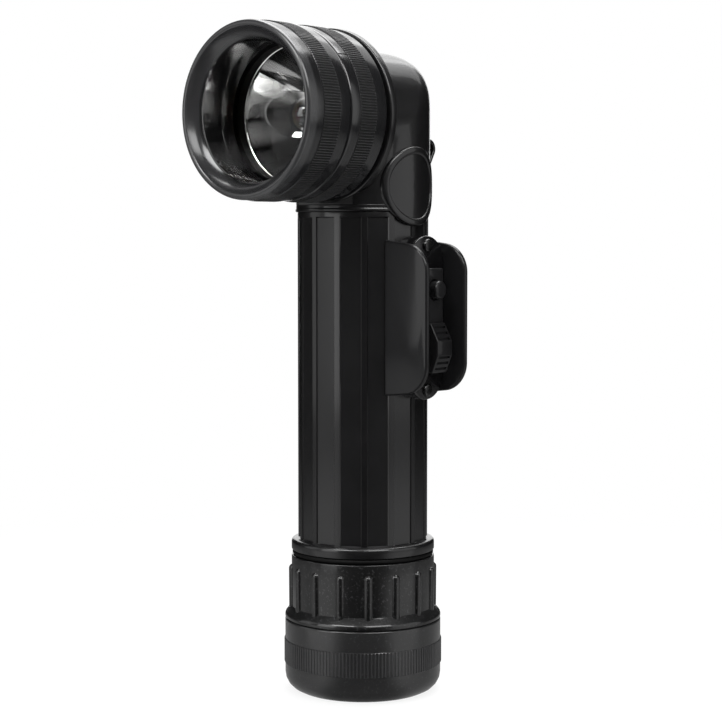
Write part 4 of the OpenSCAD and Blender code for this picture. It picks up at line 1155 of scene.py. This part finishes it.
class TORCH_OT_slide(bpy.types.Operator):
    """Switch slide with its grooved hump, and the button in its tongue"""

    bl_idname = "torch.slide"
    bl_label = "Slide and button"

    def hump(self, p):
        start, end, run = p.slide_low, p.hump_high, p.hump_slope
        inner = p.tongue_out - 0.6 * MM
        points = [
            (inner, start), (p.hump_foot, start), (p.crest, start + run), (p.crest, end - run),
            (p.hump_head, end), (inner, end)
        ]
        bm = prism(points, [], 2 * p.hump_half)
        shift(bm, 0, -p.hump_half, 0)
        tongue_side = 28.5 * MM
        soften(bm, 0.3 * MM, angle=15, keep=lambda e: max(v.co.x for v in e.verts) > tongue_side)
        return bm

    def grooves(self, p):
        """Blocks that cut grip grooves into each slope of the hump."""
        per_slope, first, deep = 3, 0.7, 0.5 * MM
        tall = 4 * MM
        size = (tall, 2 * (p.hump_half - 0.8 * MM), 0.75 * MM)
        made = []
        for number in range(per_slope):
            mark = (number + first) / per_slope
            rise = p.hump_slope * mark
            for foot, z in ((p.hump_foot, p.slide_low + rise), (p.hump_head, p.hump_high - rise)):
                floor = foot + (p.crest - foot) * mark - deep
                made.append(block(size, (floor + tall / 2, 0, z)))
        return joined(*made)

    def slide(self, p):
        top, stem_z = high("switch_slide", "z"), 105.5 * MM
        tongue = block(
            (p.tongue_out - p.tongue_in, 2 * p.slide_half, top - p.slide_low),
            ((p.tongue_in + p.tongue_out) / 2, 0, (top + p.slide_low) / 2), edge=0.5 * MM
        )
        stem = block((4 * MM, 5 * MM, 9 * MM), (24 * MM, 0, stem_z))
        foot = block((1.2 * MM, 8.2 * MM, 11 * MM), (22.2 * MM, 0, stem_z), edge=0.2 * MM)
        return joined(tongue, self.hump(p), stem, foot)

    def button(self, p):
        low_end, top = low("signal_button", "x"), high("signal_button", "x")
        stem, seat = 1.5 * MM, p.tongue_out - 1.6 * MM
        bm = turned(
            [
                (0, low_end), (stem, low_end), (stem, seat), (p.button, seat), (p.button, top),
                (2 * MM, top), (0, top)
            ],
            [(0.7 * MM, (4,))], steps=64
        )
        bm.transform(Matrix.Translation((0, 0, p.button_z)) @ ON_SWITCH)
        return bm

    def execute(self, context):
        p = context.scene.torch_switch
        slide = piece(
            self.slide(p), "slide_shell", "slide", "body_black", "switch_slide",
            look="switch_black"
        )
        well = rod(radius=3.15 * MM, start=20 * MM, end=30 * MM, steps=64)
        well.transform(Matrix.Translation((0, 0, p.button_z)) @ ON_SWITCH)
        cut(slide, well, self.grooves(p))
        piece(
            self.button(p), "button_cap", "button", "body_black", "signal_button",
            look="switch_black"
        )
        keep_nodes("contact_brass", "slide_contact")
        return {"FINISHED"}


class TORCH_OT_clip(bpy.types.Operator):
    """Belt clip folded from one strip of enamelled steel, and its rivet"""

    bl_idname = "torch.clip"
    bl_label = "Belt clip"

    def strip(self, p):
        place = Vector((0, 21.15 * MM, 159 * MM))
        heading = QUARTER
        half, thick = p.clip_half, p.clip_thick / 2
        corners = [
            (x, place.y + y, place.z)
            for x, y in ((-half, -thick), (half, -thick), (half, thick), (-half, thick))
        ]
        bm = outline(corners, [(0.25 * MM, range(4))], 3)
        last = bm.faces[:]
        fewest, step_angle = 3, 8
        # Each is a straight run in millimetres, or a bend in degrees with its radius
        moves = [
            (8, 0, 0), (0, -90, 2.5), (0.24, 0, 0), (0, -120, 2.5), (5.2, 0, 0), (0, 30, 4),
            (48, 0, 0), (0, -8, 8), (8, 0, 0), (0, 33, 4), (5, 0, 0)
        ]
        for run, turn, radius in moves:
            ahead = Vector((0, math.cos(heading), math.sin(heading)))
            if run:
                last = pull(bm, last, ahead * run * MM)
                place = place + ahead * run * MM
            else:
                angle = math.radians(turn)
                side = Vector((0, -ahead.z, ahead.y)) * math.copysign(radius * MM, turn)
                centre = place + side
                geom = {g for f in last for g in (f, *f.edges, *f.verts)}
                steps = max(fewest, abs(turn) // step_angle)
                made = bmesh.ops.spin(
                    bm, geom=list(geom), cent=centre, axis=(1, 0, 0), angle=angle, steps=steps
                )["geom_last"]
                place = centre + Matrix.Rotation(angle, 3, "X") @ (place - centre)
                heading += angle
                last = [g for g in made if isinstance(g, bmesh.types.BMFace)]
        return weld(bm)

    def execute(self, context):
        p = context.scene.torch_switch
        clip = piece(
            self.strip(p), "clip_strip", None, "clip_steel", "belt_clip_base", "belt_clip_leg"
        )
        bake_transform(clip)
        rivet_z = 163.4 * MM
        head = rivet(
            shank=1.6 * MM, start=18 * MM, face=21.65 * MM, head=3 * MM,
            top=high("clip_rivet", "y"), dome=0.8 * MM
        )
        head.transform(Matrix.Translation((0, 0, rivet_z)) @ Matrix.Rotation(-QUARTER, 4, "X"))
        piece(head, "clip_rivet_head", "torch_body", "clip_steel", "clip_rivet")
        return {"FINISHED"}


class TORCH_OT_cap(bpy.types.Operator):
    """Battery cap with its ribs, and the seal above it"""

    bl_idname = "torch.cap"
    bl_label = "Battery cap"

    def ribs(self, p):
        bm = bmesh.new()
        bmesh.ops.create_uvsphere(bm, u_segments=20, v_segments=12, radius=p.rib)
        for vert in bm.verts:
            if vert.co.z < -WELD:
                vert.co.z -= p.rib_high - p.rib_low - p.rib
        shift(bm, p.rib_out - p.rib, 0, p.rib_high)
        spin(bm, FULL * (p.ribs - 1) / p.ribs, p.ribs - 1, use_duplicate=True)
        return bm

    def execute(self, context):
        p = context.scene.torch_foot
        base = p.shoulder_z
        spares, root, crest = 19.7 * MM, 21.25 * MM, 21.8 * MM
        neck, cup = 20.3 * MM, 17.7 * MM
        ledge, floor, ceiling = 30.2 * MM, 20.6 * MM, 19 * MM
        shell = turned(
            [
                (spares, p.cap_low), (root, p.cap_low), (root, base), (p.shoulder, base),
                (p.shoulder, base + 1.3 * MM), (22.5 * MM, base + 3.1 * MM),
                (p.cap, base + 3.6 * MM), (p.cap, p.cap_top), (neck, p.cap_top), (neck, ledge),
                (cup, ledge), (cup, floor), (0, floor), (0, ceiling), (spares, ceiling)
            ],
            [(0.4 * MM, (3,)), (0.5 * MM, (4,)), (0.25 * MM, (7,)), (0.3 * MM, (8,))],
            steps=192,
        )
        ridge = thread(crest, p.cap_low, base, pitch=2.5 * MM, height=0.7 * MM)
        piece(joined(shell, ridge, self.ribs(p)), "cap_shell", "cap", "cap_black", "battery_cap")
        keep_nodes("rubber", "cap_seal")
        keep_nodes("contact_brass", "cap_contact")
        return {"FINISHED"}


class TORCH_OT_cover(bpy.types.Operator):
    """Base cover with its grip band"""

    bl_idname = "torch.cover"
    bl_label = "Base cover"

    def execute(self, context):
        p = context.scene.torch_foot
        ridge, flank, step, bore, floor = 0.2 * MM, 0.17 * MM, 0.1 * MM, 22.0 * MM, 2.2 * MM
        bm = turned(
            [
                (0, 0), (p.cover, 0), *grip_section(p.cover, step, p.grip_low, p.grip_high),
                (p.cover, p.cover_top), (bore, p.cover_top), (bore, floor), (0, floor)
            ],
            [(p.cover_round, (1,)), (0.5 * MM, (6,)), (0.4 * MM, (7,)), (1 * MM, (8,))],
            steps=2 * p.ridges,
        )
        raise_ridges(bm, p.cover + step / 2, p.grip_low, p.grip_high, flank, ridge)
        piece(bm, "cover_shell", "cover", "cap_black", "base_cover", look="cover_black")
        return {"FINISHED"}


class TORCH_OT_inside(bpy.types.Operator):
    """Cells, battery spring, and what stands behind the bulb"""

    bl_idname = "torch.inside"
    bl_label = "Inside"

    def execute(self, context):
        start, end = low("battery_spring", "z"), high("battery_spring", "z")
        wire, wide, taper = 0.55 * MM, 14.5 * MM, 5 * MM
        turns, per_turn = 3, 40
        steps = turns * per_turn
        bm = bmesh.new()
        bmesh.ops.create_circle(
            bm, cap_ends=True, segments=16, radius=wire,
            matrix=Matrix.Translation((wide - wire, 0, start + wire))
            @ Matrix.Rotation(QUARTER, 4, "X")
        )
        rise = (end - start - 2 * wire) / steps
        spin(bm, turns * FULL, steps, dvec=(0, 0, rise))
        weld(bm)
        for vert in bm.verts:
            narrow = taper * (vert.co.z - start) / (end - start)
            vert.co.xy *= 1 - narrow / vert.co.xy.length
        piece(bm, "spring_coil", "cap", "spring_steel", "battery_spring")
        keep_nodes("cell_jacket", "battery_lower", "battery_upper")
        keep_nodes("contact_brass", "bulb_base", "bulb_retainer")
        keep_nodes("fibre", "bulb_foot")
        keep_nodes("rubber", "lens_gasket")
        return {"FINISHED"}


class TORCH_OT_spares(bpy.types.Operator):
    """Spare filters, spare bulb and the cushion in the base cover"""

    bl_idname = "torch.spares"
    bl_label = "Spares"

    def execute(self, context):
        lowest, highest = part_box("spare_bulb_cushion")
        bm = bmesh.new()
        bmesh.ops.create_cone(
            bm, cap_ends=True, segments=96, radius1=highest.x, radius2=highest.x,
            depth=highest.z - lowest.z
        )
        shift(bm, 0, 0, (lowest.z + highest.z) / 2)
        soften(bm, 1.2 * MM)
        cushion = piece(bm, "cushion_foam", "spares", "foam", "spare_bulb_cushion")
        pocket_r, pocket_z, half_run, rise = 6.2 * MM, 12.85 * MM, 9.5 * MM, 4 * MM
        pocket = bmesh.new()
        bmesh.ops.create_uvsphere(pocket, u_segments=32, v_segments=16, radius=pocket_r)
        for vert in pocket.verts:
            vert.co.x += math.copysign(half_run, vert.co.x)
            if vert.co.z > WELD:
                vert.co.z += rise
        shift(pocket, 0, 0, pocket_z)
        cut(cushion, pocket)
        keep_nodes("filter_red", "spare_filter_red")
        keep_nodes("filter_blue", "spare_filter_blue")
        keep_nodes("filter_white", "spare_filter_diffuser")
        keep_nodes("clear_glass", "spare_bulb_glass")
        keep_nodes("contact_brass", "spare_bulb_base")
        return {"FINISHED"}


# Stage


class TORCH_OT_stage(bpy.types.Operator):
    """Floor, light and camera"""

    bl_idname = "torch.stage"
    bl_label = "Stage"

    def floor(self, p):
        """White paper to the camera, with a glow in the torch's reflections of it."""
        bm = bmesh.new()
        bmesh.ops.create_grid(bm, x_segments=1, y_segments=1, size=6)
        mesh = to_mesh(bm, "floor")
        look = bpy.data.materials.new("floor")
        look.use_nodes = True
        mesh.materials.append(look)
        recipe = Recipe(look.node_tree)
        seen = recipe.node("LightPath", out="Is Camera Ray")
        mirrored = recipe.node("LightPath", out="Is Glossy Ray")

        def measure(operation, *direction):
            places = dict(enumerate((recipe.place(), *direction)))
            return recipe.node("VectorMath", {"operation": operation}, places, out="Value")

        toward, across = math.sin(p.azimuth), math.cos(p.azimuth)
        # Metres from the torch toward the camera, to its side and in all
        ahead = measure("DOT_PRODUCT", (toward, -across, 0.0))
        beside = recipe.math_node("ABSOLUTE", measure("DOT_PRODUCT", (across, toward, 0.0)))
        away = measure("LENGTH")
        front = recipe.ramp(ahead, 0.0, 0.05)
        before = front * recipe.ramp(beside / ahead, 0.35, 1.1) * 0.9
        behind = (1.0 - front) * (recipe.ramp(ahead, -0.25, -0.06) * 0.7 + 0.3) * 0.35
        lit = recipe.ramp(away, 0.7, 0.35) * (before + behind)
        open_floor = recipe.ramp(away, 0.1, 0.35) * 0.14 + 0.86
        paper = recipe.node("BsdfDiffuse", None, {"Color": grey(0.8)})
        tone = recipe.mix(seen + mirrored * lit, grey(0.0), grey(1.0))
        glow = recipe.node("Emission", None, {"Color": tone, "Strength": 1.0})
        share_lit = seen * open_floor + mirrored
        recipe.shade("Material", recipe.node("MixShader", None, {0: share_lit, 1: paper, 2: glow}))
        return add_object("floor", mesh)

    def world(self, p):
        world = bpy.context.scene.world or bpy.data.worlds.new("studio")
        bpy.context.scene.world = world
        world.use_nodes = True
        recipe = Recipe(world.node_tree)
        seen = recipe.node("LightPath", out="Is Camera Ray")
        tone = recipe.mix(seen, grey(p.ambient), grey(1.0))
        recipe.shade("World", recipe.node("Background", None, {"Color": tone, "Strength": 1.0}))

    def box_light(self, name, turn, lift, distance, size, radiance, aim):
        """An area lamp at an angle from the camera's side of the torch, and a lift over level."""
        p = bpy.context.scene.torch_studio
        angle = p.azimuth + turn
        aim = Vector((0, 0, aim))
        away = Vector((
            math.sin(angle) * math.cos(lift), -math.cos(angle) * math.cos(lift), math.sin(lift)
        ))
        lamp = bpy.data.lights.new(name, "AREA")
        lamp.shape = "RECTANGLE"
        lamp.size, lamp.size_y = size
        lamp.energy = radiance * math.pi * size[0] * size[1]
        made = add_object(name, lamp)
        made.location = aim + away * distance
        made.rotation_euler = (-away).to_track_quat("-Z", "Y").to_euler()
        made.visible_camera = False
        return made

    def execute(self, context):
        p = context.scene.torch_studio
        self.floor(p)
        self.world(p)
        turn = math.radians
        # Name, turn, lift, distance, width and height, radiance, height aimed at
        lights = [
            ("left_box", turn(-55), turn(10), 0.9, (0.46, 1.0), p.sides, 0.12),
            ("left_edge", turn(-92), turn(8), 0.9, (0.4, 0.9), p.sides * 0.35, 0.12),
            ("right_box", turn(68), turn(8), 0.9, (0.85, 0.9), p.sides * 0.4, 0.12),
            ("front_left", turn(-36), turn(45), 0.9, (0.5, 0.26), p.fronts, 0.1),
            ("front_right", turn(27), turn(42), 0.9, (0.55, 0.42), p.fronts * 0.65, 0.1),
            ("top_box", turn(160), turn(76), 0.8, (0.7, 0.6), p.top, 0.1),
            ("back_wall", turn(180), turn(28), 1.2, (0.8, 1.6), p.back, 0.1),
            ("shoulder_box", turn(148), turn(40), 1.2, (0.6, 0.5), p.back * 0.7, 0.17),
        ]
        for light in lights:
            self.box_light(*light)
        lens = bpy.data.cameras.new("camera")
        lens.lens = p.focal
        lens.sensor_width = 36
        lens.clip_start = 0.01
        camera = add_object("camera", lens)
        camera.location = (
            math.sin(p.azimuth) * p.distance, -math.cos(p.azimuth) * p.distance, p.height
        )
        camera.rotation_euler = (QUARTER - p.pitch, 0, p.look)
        context.scene.camera = camera
        context.scene.view_settings.view_transform = "Standard"
        return {"FINISHED"}


OPERATORS = (
    TORCH_OT_barrel, TORCH_OT_head_rings, TORCH_OT_lamp, TORCH_OT_guard, TORCH_OT_slide,
    TORCH_OT_clip, TORCH_OT_cap, TORCH_OT_cover, TORCH_OT_inside, TORCH_OT_spares, TORCH_OT_stage
)
GROUPS = {
    "torch_barrel": TorchBarrelSizes,
    "torch_head": TorchHeadSizes,
    "torch_foot": TorchFootSizes,
    "torch_switch": TorchSwitchSizes,
    "torch_finish": TorchFinish,
    "torch_studio": TorchStudio,
}


class TORCH_PT_panel(bpy.types.Panel):
    """Lists the flashlight's pieces"""

    bl_idname = "TORCH_PT_panel"
    bl_label = "Flashlight"
    bl_space_type = "VIEW_3D"
    bl_region_type = "UI"
    bl_category = "Flashlight"

    def draw(self, context):
        for operator in OPERATORS:
            self.layout.operator(operator.bl_idname)


def register():
    for group in GROUPS.values():
        bpy.utils.register_class(group)
    for name, group in GROUPS.items():
        setattr(bpy.types.Scene, name, PointerProperty(type=group))
    for item in (*OPERATORS, TORCH_PT_panel):
        bpy.utils.register_class(item)


def unregister():
    for item in (TORCH_PT_panel, *reversed(OPERATORS)):
        bpy.utils.unregister_class(item)
    for name in GROUPS:
        delattr(bpy.types.Scene, name)
    for group in reversed(list(GROUPS.values())):
        bpy.utils.unregister_class(group)


def main():
    register()
    bpy.ops.torch.barrel()
    bpy.ops.torch.head_rings()
    bpy.ops.torch.lamp()
    bpy.ops.torch.guard()
    bpy.ops.torch.slide()
    bpy.ops.torch.clip()
    bpy.ops.torch.cap()
    bpy.ops.torch.cover()
    bpy.ops.torch.inside()
    bpy.ops.torch.spares()
    bpy.ops.torch.stage()


if __name__ == "__main__":
    main()
